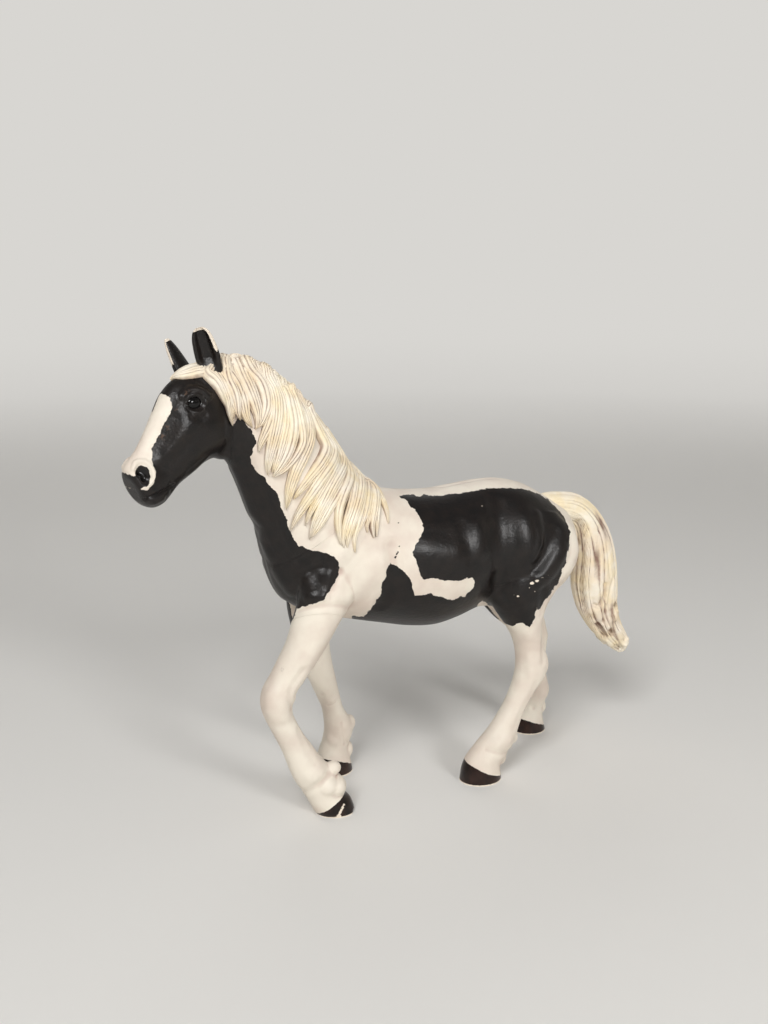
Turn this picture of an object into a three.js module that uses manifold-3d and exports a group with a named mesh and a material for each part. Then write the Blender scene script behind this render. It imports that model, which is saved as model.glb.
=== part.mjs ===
// A walking toy horse, cast in PVC and glued up from its mouldings.
// Millimetres, +Z up. It faces -X, its own left side is -Y, and it stands on Z = 0.
import * as THREE from "three";
import { mergeVertices } from "three/addons/utils/BufferGeometryUtils.js";
import Module from "manifold-3d";

const wasm = await Module();
wasm.setup();

// Driving sizes
const bodyLength = 85;
const withersHeight = 77;
const barrelWidth = 32;
const legWidth = 9;
const headWidth = 10.6;
const tailWidth = 10;
const maneThickness = 1.4;
const maneLockWidth = 3.4;
const maneLockRise = 0.7;
const crestRollWidth = 8;
const crestRollRise = 0.9;
const forelockThickness = 2.1;
const pegRadius = 2.2;
const pegLength = 10;
const filletReach = 1.2;

// The ears grow with the body: 4.8 mm wide and 2.8 mm deep on a body 85 mm long
const earWidthShare = 4.8 / 85;
const earDepthShare = 2.8 / 85;
const earWidth = earWidthShare * bodyLength;
const earDepth = earDepthShare * bodyLength;

// Clearance between two mouldings, filled with glue
const seamGap = 0.3;

// Angles, in degrees
const headTurn = 20;

// Counts
const bodySides = 30;
const legSides = 18;
const headSides = 24;
const tailSides = 16;
const earSides = 12;
const pegSides = 6;
const ringSteps = 2;
const lockSteps = 6;

// Each row of a table is one ring of the casting: the upper or front point as shares of
// bodyLength (x) and withersHeight (z), the lower or rear point the same way, the half
// width as a share of that casting's width, and the sideways place of its middle as a
// share of barrelWidth.
const bodyShares = [
  [0.827, 0.833, 0.842, 0.731, 0.113, 0],
  [0.813, 0.857, 0.83, 0.651, 0.256, 0],
  [0.781, 0.878, 0.799, 0.592, 0.356, 0],
  [0.733, 0.912, 0.739, 0.55, 0.419, 0],
  [0.673, 0.947, 0.661, 0.53, 0.456, 0],
  [0.607, 0.966, 0.583, 0.542, 0.481, 0],
  [0.535, 0.969, 0.511, 0.55, 0.431, 0],
  [0.451, 0.96, 0.427, 0.528, 0.481, 0],
  [0.379, 0.953, 0.355, 0.515, 0.497, 0],
  [0.307, 0.956, 0.278, 0.524, 0.484, 0],
  [0.236, 0.966, 0.2, 0.544, 0.453, 0],
  [0.176, 0.984, 0.122, 0.565, 0.422, 0],
  [0.128, 1.015, 0.044, 0.589, 0.403, 0],
  [0.082, 1.068, -0.028, 0.618, 0.384, 0],
  [0.049, 1.125, -0.086, 0.658, 0.35, 0],
  [0.017, 1.177, -0.119, 0.722, 0.309, -0.006],
  [-0.01, 1.222, -0.136, 0.797, 0.275, -0.016],
  [-0.038, 1.258, -0.152, 0.87, 0.25, -0.025],
  [-0.071, 1.288, -0.177, 0.939, 0.225, -0.034],
  [-0.107, 1.314, -0.198, 1.002, 0.206, -0.044],
  [-0.148, 1.338, -0.218, 1.055, 0.194, -0.053],
  [-0.196, 1.359, -0.238, 1.092, 0.184, -0.062],
  [-0.25, 1.359, -0.268, 1.121, 0.169, -0.069],
  [-0.292, 1.333, -0.292, 1.161, 0.138, -0.075],
];
const headShares = [
  [-0.239, 1.346, -0.225, 1.155, 0.321],
  [-0.282, 1.356, -0.241, 1.099, 0.434],
  [-0.332, 1.355, -0.279, 1.105, 0.472],
  [-0.382, 1.333, -0.312, 1.095, 0.491],
  [-0.418, 1.298, -0.34, 1.076, 0.481],
  [-0.441, 1.256, -0.364, 1.061, 0.434],
  [-0.461, 1.218, -0.383, 1.049, 0.377],
  [-0.481, 1.183, -0.4, 1.033, 0.34],
  [-0.499, 1.154, -0.416, 1.015, 0.321],
  [-0.519, 1.131, -0.435, 0.999, 0.33],
  [-0.534, 1.11, -0.462, 0.992, 0.33],
  [-0.532, 1.088, -0.486, 1, 0.292],
  [-0.523, 1.068, -0.501, 1.014, 0.198],
];
const tailShares = [
  [0.715, 0.89, 0.745, 0.804, 0.3, 0],
  [0.769, 0.904, 0.797, 0.809, 0.33, 0],
  [0.823, 0.902, 0.839, 0.802, 0.35, 0],
  [0.869, 0.894, 0.866, 0.785, 0.37, 0],
  [0.912, 0.871, 0.876, 0.759, 0.4, 0],
  [0.955, 0.83, 0.881, 0.724, 0.43, 0],
  [0.993, 0.772, 0.883, 0.678, 0.46, 0],
  [1.018, 0.711, 0.881, 0.632, 0.48, 0],
  [1.033, 0.645, 0.878, 0.579, 0.49, 0],
  [1.041, 0.579, 0.888, 0.526, 0.47, 0],
  [1.045, 0.512, 0.908, 0.473, 0.44, 0],
  [1.052, 0.453, 0.936, 0.424, 0.39, 0],
  [1.071, 0.403, 0.972, 0.375, 0.33, 0],
  [1.093, 0.362, 1.01, 0.338, 0.27, 0],
  [1.105, 0.33, 1.046, 0.309, 0.19, 0],
  [1.094, 0.303, 1.068, 0.294, 0.09, 0],
];
const leftForeShares = [
  [-0.038, 0.83, 0.102, 0.83, 0.378, -0.212],
  [-0.061, 0.744, 0.088, 0.751, 0.511, -0.244],
  [-0.074, 0.665, 0.078, 0.665, 0.556, -0.263],
  [-0.09, 0.609, 0.047, 0.608, 0.544, -0.267],
  [-0.108, 0.552, 0.016, 0.552, 0.511, -0.271],
  [-0.133, 0.503, -0.017, 0.497, 0.478, -0.275],
  [-0.156, 0.46, -0.048, 0.452, 0.444, -0.279],
  [-0.177, 0.425, -0.08, 0.416, 0.444, -0.283],
  [-0.186, 0.388, -0.097, 0.381, 0.456, -0.288],
  [-0.182, 0.351, -0.101, 0.346, 0.422, -0.292],
  [-0.167, 0.309, -0.089, 0.31, 0.356, -0.296],
  [-0.148, 0.264, -0.07, 0.268, 0.333, -0.3],
  [-0.13, 0.219, -0.046, 0.225, 0.344, -0.304],
  [-0.117, 0.176, -0.022, 0.187, 0.389, -0.308],
  [-0.103, 0.134, 0.008, 0.142, 0.433, -0.312],
  [-0.085, 0.097, 0.021, 0.105, 0.411, -0.312],
  [-0.066, 0.063, 0.038, 0.078, 0.422, -0.312],
  [-0.054, 0.037, 0.048, 0.057, 0.467, -0.312],
  [-0.038, 0.004, 0.062, 0.041, 0.5, -0.312],
  [-0.005, -0.035, 0.073, 0.012, 0.511, -0.312],
];
const leftHindShares = [
  [0.626, 0.896, 0.757, 0.883, 0.4, -0.225],
  [0.575, 0.797, 0.801, 0.79, 0.667, -0.256],
  [0.528, 0.684, 0.807, 0.698, 0.756, -0.275],
  [0.513, 0.612, 0.747, 0.625, 0.7, -0.279],
  [0.538, 0.559, 0.707, 0.572, 0.622, -0.284],
  [0.568, 0.512, 0.689, 0.519, 0.544, -0.288],
  [0.596, 0.462, 0.686, 0.47, 0.478, -0.293],
  [0.608, 0.415, 0.694, 0.42, 0.433, -0.297],
  [0.61, 0.371, 0.709, 0.364, 0.422, -0.302],
  [0.605, 0.33, 0.702, 0.325, 0.411, -0.306],
  [0.592, 0.29, 0.675, 0.287, 0.367, -0.31],
  [0.569, 0.242, 0.646, 0.242, 0.333, -0.315],
  [0.541, 0.199, 0.623, 0.196, 0.333, -0.319],
  [0.51, 0.16, 0.606, 0.147, 0.356, -0.324],
  [0.48, 0.129, 0.591, 0.105, 0.4, -0.328],
  [0.459, 0.106, 0.568, 0.072, 0.411, -0.328],
  [0.446, 0.089, 0.547, 0.049, 0.433, -0.328],
  [0.437, 0.074, 0.546, 0.023, 0.478, -0.328],
  [0.425, 0.036, 0.549, 0.002, 0.522, -0.328],
  [0.418, -0.03, 0.548, -0.03, 0.544, -0.328],
];
const rightForeShares = [
  [-0.014, 0.83, 0.126, 0.83, 0.378, 0.212],
  [-0.019, 0.744, 0.116, 0.751, 0.511, 0.244],
  [-0.031, 0.651, 0.114, 0.658, 0.556, 0.263],
  [-0.031, 0.592, 0.102, 0.585, 0.533, 0.267],
  [-0.021, 0.532, 0.095, 0.519, 0.5, 0.271],
  [-0.007, 0.466, 0.095, 0.453, 0.456, 0.276],
  [0.012, 0.403, 0.103, 0.393, 0.411, 0.28],
  [0.029, 0.354, 0.112, 0.347, 0.411, 0.284],
  [0.044, 0.311, 0.121, 0.303, 0.411, 0.289],
  [0.061, 0.269, 0.13, 0.261, 0.389, 0.293],
  [0.075, 0.231, 0.14, 0.224, 0.356, 0.298],
  [0.082, 0.191, 0.159, 0.188, 0.367, 0.302],
  [0.085, 0.155, 0.172, 0.152, 0.4, 0.306],
  [0.081, 0.121, 0.169, 0.121, 0.389, 0.311],
  [0.072, 0.092, 0.156, 0.09, 0.367, 0.312],
  [0.065, 0.07, 0.158, 0.063, 0.4, 0.312],
  [0.062, 0.055, 0.166, 0.028, 0.456, 0.312],
  [0.051, 0.018, 0.17, 0.002, 0.5, 0.312],
  [0.046, -0.03, 0.169, -0.03, 0.522, 0.312],
];
const rightHindShares = [
  [0.661, 0.896, 0.794, 0.883, 0.4, 0.225],
  [0.616, 0.79, 0.832, 0.784, 0.667, 0.256],
  [0.574, 0.671, 0.856, 0.684, 0.756, 0.275],
  [0.585, 0.585, 0.842, 0.598, 0.689, 0.281],
  [0.614, 0.516, 0.835, 0.532, 0.589, 0.287],
  [0.662, 0.454, 0.836, 0.47, 0.5, 0.293],
  [0.713, 0.407, 0.845, 0.417, 0.444, 0.299],
  [0.746, 0.362, 0.859, 0.364, 0.411, 0.305],
  [0.766, 0.317, 0.86, 0.319, 0.4, 0.311],
  [0.781, 0.269, 0.855, 0.272, 0.356, 0.317],
  [0.795, 0.221, 0.862, 0.224, 0.333, 0.323],
  [0.805, 0.179, 0.874, 0.179, 0.344, 0.329],
  [0.809, 0.145, 0.88, 0.142, 0.389, 0.335],
  [0.804, 0.113, 0.868, 0.113, 0.378, 0.341],
  [0.794, 0.086, 0.856, 0.084, 0.367, 0.344],
  [0.782, 0.066, 0.859, 0.057, 0.4, 0.344],
  [0.773, 0.052, 0.863, 0.025, 0.467, 0.344],
  [0.76, 0.015, 0.869, -0.001, 0.511, 0.344],
  [0.756, -0.03, 0.866, -0.03, 0.533, 0.344],
];

// Side outlines of the hair, x as shares of bodyLength and z as shares of withersHeight
const maneShares = [
  [-0.242, 1.358], [-0.24, 1.429], [-0.165, 1.396], [-0.024, 1.286], [0.082, 1.156],
  [0.146, 1.071], [0.181, 1.016], [0.199, 0.961], [0.193, 0.909], [0.179, 0.914],
  [0.161, 0.961], [0.148, 0.868], [0.132, 0.878], [0.115, 0.916], [0.094, 0.829],
  [0.082, 0.87], [0.061, 0.845], [0.047, 0.852], [0.028, 0.935], [0.007, 0.955],
  [-0.026, 0.878], [-0.042, 0.875], [-0.054, 0.922], [-0.085, 0.894], [-0.094, 0.901],
  [-0.089, 0.961], [-0.107, 0.96], [-0.111, 1.058], [-0.144, 1.055], [-0.179, 1.091],
  [-0.172, 1.156], [-0.184, 1.192], [-0.205, 1.213], [-0.215, 1.244], [-0.22, 1.279],
];
const forelockShares = [
  [-0.386, 1.325], [-0.382, 1.345], [-0.334, 1.426], [-0.249, 1.429], [-0.247, 1.358],
  [-0.226, 1.273], [-0.231, 1.221], [-0.239, 1.205], [-0.249, 1.238], [-0.262, 1.277],
  [-0.278, 1.305], [-0.3, 1.325], [-0.329, 1.332], [-0.365, 1.335], [-0.384, 1.331],
];

// Centre line of the roll of hair on the crest, then of the mane's main locks, from the
// crest to the tip, in the same shares
const crestRollShares = [
  [-0.233, 1.37], [-0.2, 1.37], [-0.16, 1.355], [-0.12, 1.33],
];
const maneLockShares = [
  [[-0.204, 1.332], [-0.185, 1.269], [-0.177, 1.229], [-0.181, 1.192]],
  [[-0.15, 1.312], [-0.136, 1.248], [-0.149, 1.199], [-0.17, 1.153], [-0.179, 1.122]],
  [[-0.103, 1.268], [-0.102, 1.204], [-0.116, 1.151], [-0.131, 1.1], [-0.143, 1.064]],
  [[-0.066, 1.242], [-0.061, 1.187], [-0.061, 1.145], [-0.083, 1.106], [-0.115, 1.07]],
  [[-0.019, 1.196], [0.011, 1.119], [-0.018, 1.077], [-0.05, 1.043], [-0.081, 1.003]],
  [[0.058, 1.114], [0.056, 1.075], [0.019, 1.027], [-0.015, 0.969], [-0.039, 0.923], [-0.05, 0.869]],
  [[0.084, 1.07], [0.045, 0.996], [0.024, 0.952], [0.022, 0.9], [0.029, 0.849]],
  [[0.119, 1.016], [0.106, 0.975], [0.088, 0.94], [0.072, 0.9], [0.059, 0.864]],
  [[0.152, 0.981], [0.137, 0.947], [0.119, 0.909], [0.119, 0.881], [0.123, 0.856]],
];

// Seam planes: a point (x, y, z as shares of bodyLength, barrelWidth, withersHeight) and
// the direction that the plane faces
const neckSeam = { pointShares: [0.02, 0, 0.88], facing: [-0.56, 0, 0.83] };
const headSeam = { pointShares: [-0.236, 0, 1.22], facing: [-0.995, 0, -0.04] };
const legSeams = {
  left_foreleg: { pointShares: [0, -0.42, 0.645], facing: [-0.15, -0.5, -0.85] },
  right_foreleg: { pointShares: [0.03, 0.42, 0.645], facing: [-0.15, 0.5, -0.85] },
  left_hindleg: { pointShares: [0.66, -0.47, 0.67], facing: [-0.1, -0.6, -0.8] },
  right_hindleg: { pointShares: [0.69, 0.47, 0.67], facing: [-0.1, 0.6, -0.8] },
};

// The middle of each peg, as shares like the points above
const pegPlaceShares = {
  neck: [0.005, 0, 0.87],
  head: [-0.236, -0.06, 1.22],
  left_foreleg: [-0.02, -0.26, 0.63],
  right_foreleg: [0.02, 0.26, 0.63],
  left_hindleg: [0.63, -0.27, 0.61],
  right_hindleg: [0.67, 0.27, 0.61],
  tail: [0.81, 0, 0.85],
};
const tailPegFacing = [1, 0, -0.15];

// Other places, as shares like the points above
const pollShares = [-0.244, -0.0625, 1.34];
const tailRootShares = [0.73, 0, 0.9];

// Width of a lock's tip, as a share of the lock's width
const tipShare = 0.25;

// How far the hair reaches to the left and right, as shares of barrelWidth
const maneReachShares = [-0.7, 0.06];
const forelockReachShares = [-0.4, 0.09];

const sideAt = (share) => share * bodyLength;
const heightAt = (share) => share * withersHeight;
const acrossAt = (share) => share * barrelWidth;
const place = (shares) =>
  new THREE.Vector3(sideAt(shares[0]), acrossAt(shares[1]), heightAt(shares[2]));

// The head turns about an upright line through the poll
const poll = place(pollShares);

// Helpers
function solid(geometry) {
  geometry.deleteAttribute("normal");
  geometry.deleteAttribute("uv");
  const welded = mergeVertices(geometry);
  return new wasm.Manifold(
    new wasm.Mesh({
      numProp: 3,
      vertProperties: new Float32Array(welded.attributes.position.array),
      triVerts: new Uint32Array(welded.index.array),
    }),
  );
}

function signedVolume(points, faces) {
  let volume = 0;
  for (let i = 0; i < faces.length; i += 3) {
    const [a, b, c] = [points[faces[i]], points[faces[i + 1]], points[faces[i + 2]]];
    volume += a.dot(b.clone().cross(c)) / 6;
  }
  return volume;
}

// A smooth curve through a column of a table, sampled "steps" times between rows
function refine(table, steps) {
  const rows = [];
  const at = (i) => table[Math.max(0, Math.min(table.length - 1, i))];
  for (let i = 0; i < table.length - 1; i += 1) {
    for (let s = 0; s < steps; s += 1) {
      const t = s / steps;
      rows.push(
        at(i).map((p1, k) => {
          const [p0, p2, p3] = [at(i - 1)[k], at(i + 1)[k], at(i + 2)[k]];
          const bend = p2 - p0 + t * (2 * p0 - 5 * p1 + 4 * p2 - p3 + t * (3 * (p1 - p2) + p3 - p0));
          return p1 + 0.5 * t * bend;
        }),
      );
    }
  }
  rows.push(at(table.length - 1));
  return rows;
}

// One closed skin over rings of points, with a fan over each end
function skin(rings, firstMiddle, lastMiddle) {
  const sides = rings[0].length;
  const last = rings.length - 1;
  const points = [...rings.flat(), firstMiddle, lastMiddle];
  const [firstAt, lastAt] = [points.length - 2, points.length - 1];
  const faces = [];
  for (let k = 0; k < sides; k += 1) {
    const next = (k + 1) % sides;
    for (let r = 0; r < last; r += 1) {
      const [a, b] = [r * sides + k, r * sides + next];
      faces.push(a, b, b + sides, a, b + sides, a + sides);
    }
    faces.push(firstAt, next, k, lastAt, last * sides + k, last * sides + next);
  }
  if (signedVolume(points, faces) < 0) {
    faces.reverse();
  }
  const geometry = new THREE.BufferGeometry();
  const numbers = points.flatMap((p) => [p.x, p.y, p.z]);
  geometry.setAttribute("position", new THREE.Float32BufferAttribute(numbers, 3));
  geometry.setIndex(faces);
  return geometry;
}

// A ring of points round "middle", "reach" and "across" being its two half axes
function ellipse(middle, reach, across, sides) {
  return Array.from({ length: sides }, (_, k) => {
    const angle = (2 * Math.PI * k) / sides;
    const point = middle.clone().addScaledVector(reach, Math.cos(angle));
    return point.addScaledVector(across, Math.sin(angle));
  });
}

// A casting through a table's rings. "grow" moves its whole surface outwards.
function loftGeometry(table, width, sides, grow) {
  const rings = table.map((row) => {
    const upper = new THREE.Vector3(sideAt(row[0]), 0, heightAt(row[1]));
    const lower = new THREE.Vector3(sideAt(row[2]), 0, heightAt(row[3]));
    const middle = upper.clone().add(lower).multiplyScalar(0.5);
    middle.y = acrossAt(row[5] ?? 0);
    const reach = upper.clone().sub(lower).multiplyScalar(0.5);
    reach.setLength(reach.length() + grow);
    return { middle, reach, across: new THREE.Vector3(0, row[4] * width + grow, 0) };
  });
  const [first, second] = rings;
  const [beforeLast, last] = rings.slice(-2);
  if (grow > 0) {
    first.middle.add(first.middle.clone().sub(second.middle).setLength(grow));
    last.middle.add(last.middle.clone().sub(beforeLast.middle).setLength(grow));
  }
  const outlines = rings.map((r) => ellipse(r.middle, r.reach, r.across, sides));
  return skin(outlines, first.middle.clone(), last.middle.clone());
}

// A large block whose one face is the plane through "point", the block lying ahead of it
const blockSize = 4 * bodyLength;
function blockAhead(point, direction) {
  const geometry = new THREE.BoxGeometry(blockSize, blockSize, blockSize);
  geometry.translate(0, 0, blockSize / 2);
  const up = new THREE.Vector3(0, 0, 1);
  geometry.applyQuaternion(new THREE.Quaternion().setFromUnitVectors(up, direction));
  geometry.translate(point.x, point.y, point.z);
  return solid(geometry);
}

function seamBlocks(seam) {
  const facing = new THREE.Vector3(...seam.facing).normalize();
  const point = place(seam.pointShares);
  const ahead = point.clone().addScaledVector(facing, seamGap / 2);
  const behind = point.clone().addScaledVector(facing, -seamGap / 2);
  return {
    facing,
    ahead: blockAhead(ahead, facing),
    behind: blockAhead(behind, facing.clone().negate()),
  };
}

// A six-sided peg, so that the joint can't turn. It's centred on "point" along "facing".
function peg(point, facing, grow) {
  const radius = pegRadius + grow;
  const geometry = new THREE.CylinderGeometry(radius, radius, pegLength + 2 * grow, pegSides);
  const axis = new THREE.Vector3(0, 1, 0);
  geometry.applyQuaternion(new THREE.Quaternion().setFromUnitVectors(axis, facing));
  geometry.translate(point.x, point.y, point.z);
  return solid(geometry);
}

// Turns a shape with the head
function turnWithHead(geometry) {
  geometry.translate(-poll.x, 0, 0);
  geometry.rotateZ(THREE.MathUtils.degToRad(headTurn));
  geometry.translate(poll.x, poll.y, 0);
  return geometry;
}

// Lofts of the whole figure, at their own size or grown
const bodyAt = (grow) => solid(loftGeometry(refine(bodyShares, ringSteps), barrelWidth, bodySides, grow));
const headAt = (grow) =>
  solid(turnWithHead(loftGeometry(refine(headShares, ringSteps), headWidth, headSides, grow)));
const trunkAt = (grow) => bodyAt(grow).add(headAt(grow));
const tailAt = (grow) => solid(loftGeometry(tailShares, tailWidth, tailSides, grow));
const legTables = {
  left_foreleg: leftForeShares,
  right_foreleg: rightForeShares,
  left_hindleg: leftHindShares,
  right_hindleg: rightHindShares,
};

// Whole casting, before it's cut at the seams and at the ground
const ground = blockAhead(new THREE.Vector3(0, 0, 0), new THREE.Vector3(0, 0, 1));
let casting = trunkAt(0);
for (const table of Object.values(legTables)) {
  casting = casting.add(solid(loftGeometry(table, legWidth, legSides, 0)));
}
casting = casting.intersect(ground);

// Seams of neck and head
const neckCut = seamBlocks(neckSeam);
const headCut = seamBlocks(headSeam);
const neckPeg = (grow) => peg(place(pegPlaceShares.neck), neckCut.facing, grow);
const headPeg = (grow) => peg(place(pegPlaceShares.head), headCut.facing, grow);

const legs = {};
let torso = casting.intersect(neckCut.behind);
let neck = trunkAt(0).intersect(neckCut.ahead).intersect(headCut.behind);
let head = trunkAt(0).intersect(headCut.ahead).intersect(neckCut.ahead);

// Seams of the legs: a sloping plane through the root, as wide as the leg and its fillet
for (const [name, seam] of Object.entries(legSeams)) {
  const cut = seamBlocks(seam);
  const legAt = (grow) => solid(loftGeometry(legTables[name], legWidth, legSides, grow));
  const pegAt = (grow) => peg(place(pegPlaceShares[name]), cut.facing, grow);
  const root = casting.intersect(cut.ahead).intersect(legAt(filletReach));
  legs[name] = root.add(pegAt(0));
  const pastSeam = place(seam.pointShares).addScaledVector(cut.facing, -seamGap / 2);
  const seat = blockAhead(pastSeam, cut.facing).intersect(legAt(filletReach + seamGap));
  torso = torso.subtract(seat).subtract(pegAt(seamGap));
}

// Neck and head seats
neck = neck.add(neckPeg(0)).subtract(headPeg(seamGap));
head = head.add(headPeg(0));
torso = torso.subtract(neckPeg(seamGap));

// Tail, seated on the croup with a peg
const tailPegLine = new THREE.Vector3(...tailPegFacing).normalize();
const tailPeg = (grow) => peg(place(pegPlaceShares.tail), tailPegLine, grow);
const tailOut = blockAhead(place(tailRootShares), new THREE.Vector3(1, 0, 0));
const tail = tailAt(0).intersect(tailOut).subtract(bodyAt(seamGap)).add(tailPeg(0));
torso = torso.subtract(tailPeg(seamGap));

// Ears: a leaf with its base sunk in the head. Each row is a share of the ear's length
// from its base, then its half width and half depth as shares of earWidth and earDepth.
const earShares = [
  [-0.25, 0.42, 0.42],
  [0, 0.47, 0.5],
  [0.25, 0.5, 0.5],
  [0.5, 0.48, 0.46],
  [0.7, 0.44, 0.38],
  [0.86, 0.36, 0.28],
  [0.96, 0.23, 0.18],
  [1, 0.1, 0.08],
];
const earSeats = {
  left_ear: { baseShares: [-0.276, -0.16, 1.35], tipShares: [-0.31, -0.197, 1.471], turn: -17 },
  right_ear: { baseShares: [-0.312, 0.075, 1.316], tipShares: [-0.36, 0.144, 1.436], turn: 40 },
};
function earAt(seat, grow) {
  const base = place(seat.baseShares);
  const axis = place(seat.tipShares).sub(base);
  const turn = THREE.MathUtils.degToRad(seat.turn);
  const wide = new THREE.Vector3(Math.cos(turn), Math.sin(turn), 0);
  wide.addScaledVector(axis, -wide.dot(axis) / axis.lengthSq()).normalize();
  const deep = axis.clone().cross(wide).normalize();
  const rings = earShares.map(([along, wideShare, deepShare]) => {
    const middle = base.clone().addScaledVector(axis, along);
    const reach = wide.clone().multiplyScalar(wideShare * earWidth + grow);
    const across = deep.clone().multiplyScalar(deepShare * earDepth + grow);
    return ellipse(middle, reach, across, earSides);
  });
  const end = (row) => base.clone().addScaledVector(axis, row[0]);
  return solid(skin(rings, end(earShares[0]), end(earShares[earShares.length - 1])));
}

// Hair: a layer of even thickness over the neck and head, cut to its side outline
const seenFromSide = (shares) => shares.map(([x, z]) => new THREE.Vector2(sideAt(x), heightAt(z)));
function hair(corners, thickness, [nearShare, farShare]) {
  const outline = new THREE.Shape(corners);
  const depth = acrossAt(farShare - nearShare);
  const geometry = new THREE.ExtrudeGeometry(outline, { depth, bevelEnabled: false });
  geometry.rotateX(Math.PI / 2);
  geometry.translate(0, acrossAt(farShare), 0);
  return solid(geometry).intersect(trunkAt(thickness)).subtract(trunkAt(seamGap));
}

// Side outline of a lock round its centre line, narrowing from its middle to its tip
function lockOutline(centreShares, width) {
  const line = new THREE.SplineCurve(seenFromSide(centreShares));
  const [oneSide, otherSide] = [[], []];
  for (let i = 0; i <= lockSteps; i += 1) {
    const along = i / lockSteps;
    const point = line.getPoint(along);
    const tangent = line.getTangent(along);
    const half = (width / 2) * Math.min(1, 2 * (1 - along) + tipShare);
    oneSide.push(new THREE.Vector2(point.x - tangent.y * half, point.y + tangent.x * half));
    otherSide.unshift(new THREE.Vector2(point.x + tangent.y * half, point.y - tangent.x * half));
  }
  return [...oneSide, ...otherSide];
}
let mane = hair(seenFromSide(maneShares), maneThickness, maneReachShares);
for (const centreShares of maneLockShares) {
  const outline = lockOutline(centreShares, maneLockWidth);
  mane = mane.add(hair(outline, maneThickness + maneLockRise, maneReachShares));
}
const rollOutline = lockOutline(crestRollShares, crestRollWidth);
mane = mane.add(hair(rollOutline, maneThickness + crestRollRise, maneReachShares));
let forelock = hair(seenFromSide(forelockShares), forelockThickness, forelockReachShares);
const ears = {};
for (const [name, seat] of Object.entries(earSeats)) {
  const socket = earAt(seat, seamGap);
  head = head.subtract(socket);
  forelock = forelock.subtract(socket);
  ears[name] = earAt(seat, 0);
}

// Nodes
const colours = { coat: 0xe9e4d8, dark: 0x241f1d, hair: 0xdccfae };
const figure = new THREE.Group();
figure.name = "toy_horse";
const nodes = {
  torso: [torso, colours.coat],
  neck: [neck, colours.dark],
  head: [head, colours.dark],
  left_ear: [ears.left_ear, colours.dark],
  right_ear: [ears.right_ear, colours.dark],
  forelock: [forelock, colours.hair],
  mane: [mane, colours.hair],
  left_foreleg: [legs.left_foreleg, colours.coat],
  right_foreleg: [legs.right_foreleg, colours.coat],
  left_hindleg: [legs.left_hindleg, colours.coat],
  right_hindleg: [legs.right_hindleg, colours.coat],
  tail: [tail, colours.hair],
};

// The origin is under the middle of the whole figure
const figureBox = new THREE.Box3();
for (const [shape] of Object.values(nodes)) {
  const { min, max } = shape.boundingBox();
  figureBox.expandByPoint(new THREE.Vector3(...min)).expandByPoint(new THREE.Vector3(...max));
}
const middle = figureBox.getCenter(new THREE.Vector3());
for (const [name, [shape, colour]] of Object.entries(nodes)) {
  const data = shape.getMesh();
  const geometry = new THREE.BufferGeometry();
  geometry.setAttribute("position", new THREE.Float32BufferAttribute(data.vertProperties, 3));
  geometry.setIndex(Array.from(data.triVerts));
  geometry.translate(-middle.x, -middle.y, -figureBox.min.z);
  const material = new THREE.MeshStandardMaterial({ color: colour, roughness: 0.5, metalness: 0 });
  const mesh = new THREE.Mesh(geometry, material);
  mesh.name = name;
  figure.add(mesh);
}

export default figure;
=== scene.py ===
"""A walking toy horse with a black and ivory coat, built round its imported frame.

Metres, +Z up. It faces -X, and its own left side, the one in the photograph, is -Y.
The tables are in shares of the driving sizes, in millimetres in the same frame, or in
pixels of the photograph's details.
"""

import math

import bmesh
import bpy
import numpy as np
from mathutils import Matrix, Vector
from mathutils.bvhtree import BVHTree


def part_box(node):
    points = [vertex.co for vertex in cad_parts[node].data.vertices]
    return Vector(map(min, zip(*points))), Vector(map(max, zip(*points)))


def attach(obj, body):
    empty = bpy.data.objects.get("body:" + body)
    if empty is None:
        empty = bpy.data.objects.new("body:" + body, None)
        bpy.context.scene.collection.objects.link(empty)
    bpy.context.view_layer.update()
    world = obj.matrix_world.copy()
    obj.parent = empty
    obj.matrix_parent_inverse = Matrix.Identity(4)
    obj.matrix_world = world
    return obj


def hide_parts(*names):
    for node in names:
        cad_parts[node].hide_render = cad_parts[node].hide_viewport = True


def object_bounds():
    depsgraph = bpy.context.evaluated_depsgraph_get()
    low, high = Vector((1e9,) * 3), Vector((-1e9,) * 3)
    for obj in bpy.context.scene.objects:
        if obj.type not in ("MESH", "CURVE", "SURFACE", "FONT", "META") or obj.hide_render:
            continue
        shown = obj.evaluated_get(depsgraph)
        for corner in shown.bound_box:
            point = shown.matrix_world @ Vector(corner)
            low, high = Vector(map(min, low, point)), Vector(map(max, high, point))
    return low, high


bl_info = {
    "name": "Toy horse",
    "version": (1, 0, 0),
    "blender": (4, 5, 0),
    "location": "View3D > Sidebar > Toy horse",
    "description": "Builds a walking pinto toy horse from its mouldings, with a studio round it",
    "category": "Object",
}

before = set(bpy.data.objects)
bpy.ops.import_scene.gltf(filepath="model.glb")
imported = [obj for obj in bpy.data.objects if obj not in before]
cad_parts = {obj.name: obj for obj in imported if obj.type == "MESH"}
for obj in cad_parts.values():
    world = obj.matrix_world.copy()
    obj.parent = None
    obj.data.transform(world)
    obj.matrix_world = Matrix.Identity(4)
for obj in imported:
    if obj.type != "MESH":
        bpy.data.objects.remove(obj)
cad_low, cad_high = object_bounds()

MM = 0.001
LEFT, RIGHT = -1, 1

# Driving sizes of the castings, in millimetres
BODY_LENGTH = 85
WITHERS_HEIGHT = 77
BARREL_WIDTH = 32
LEG_WIDTH = 9
HEAD_WIDTH = 10.6
TAIL_WIDTH = 10
EAR_WIDTH = 4.8
EAR_DEPTH = 2.8

# The modelling strokes swell the skin, so it's slimmed by this to stay inside the frame
SLIMMER = 0.98

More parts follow.
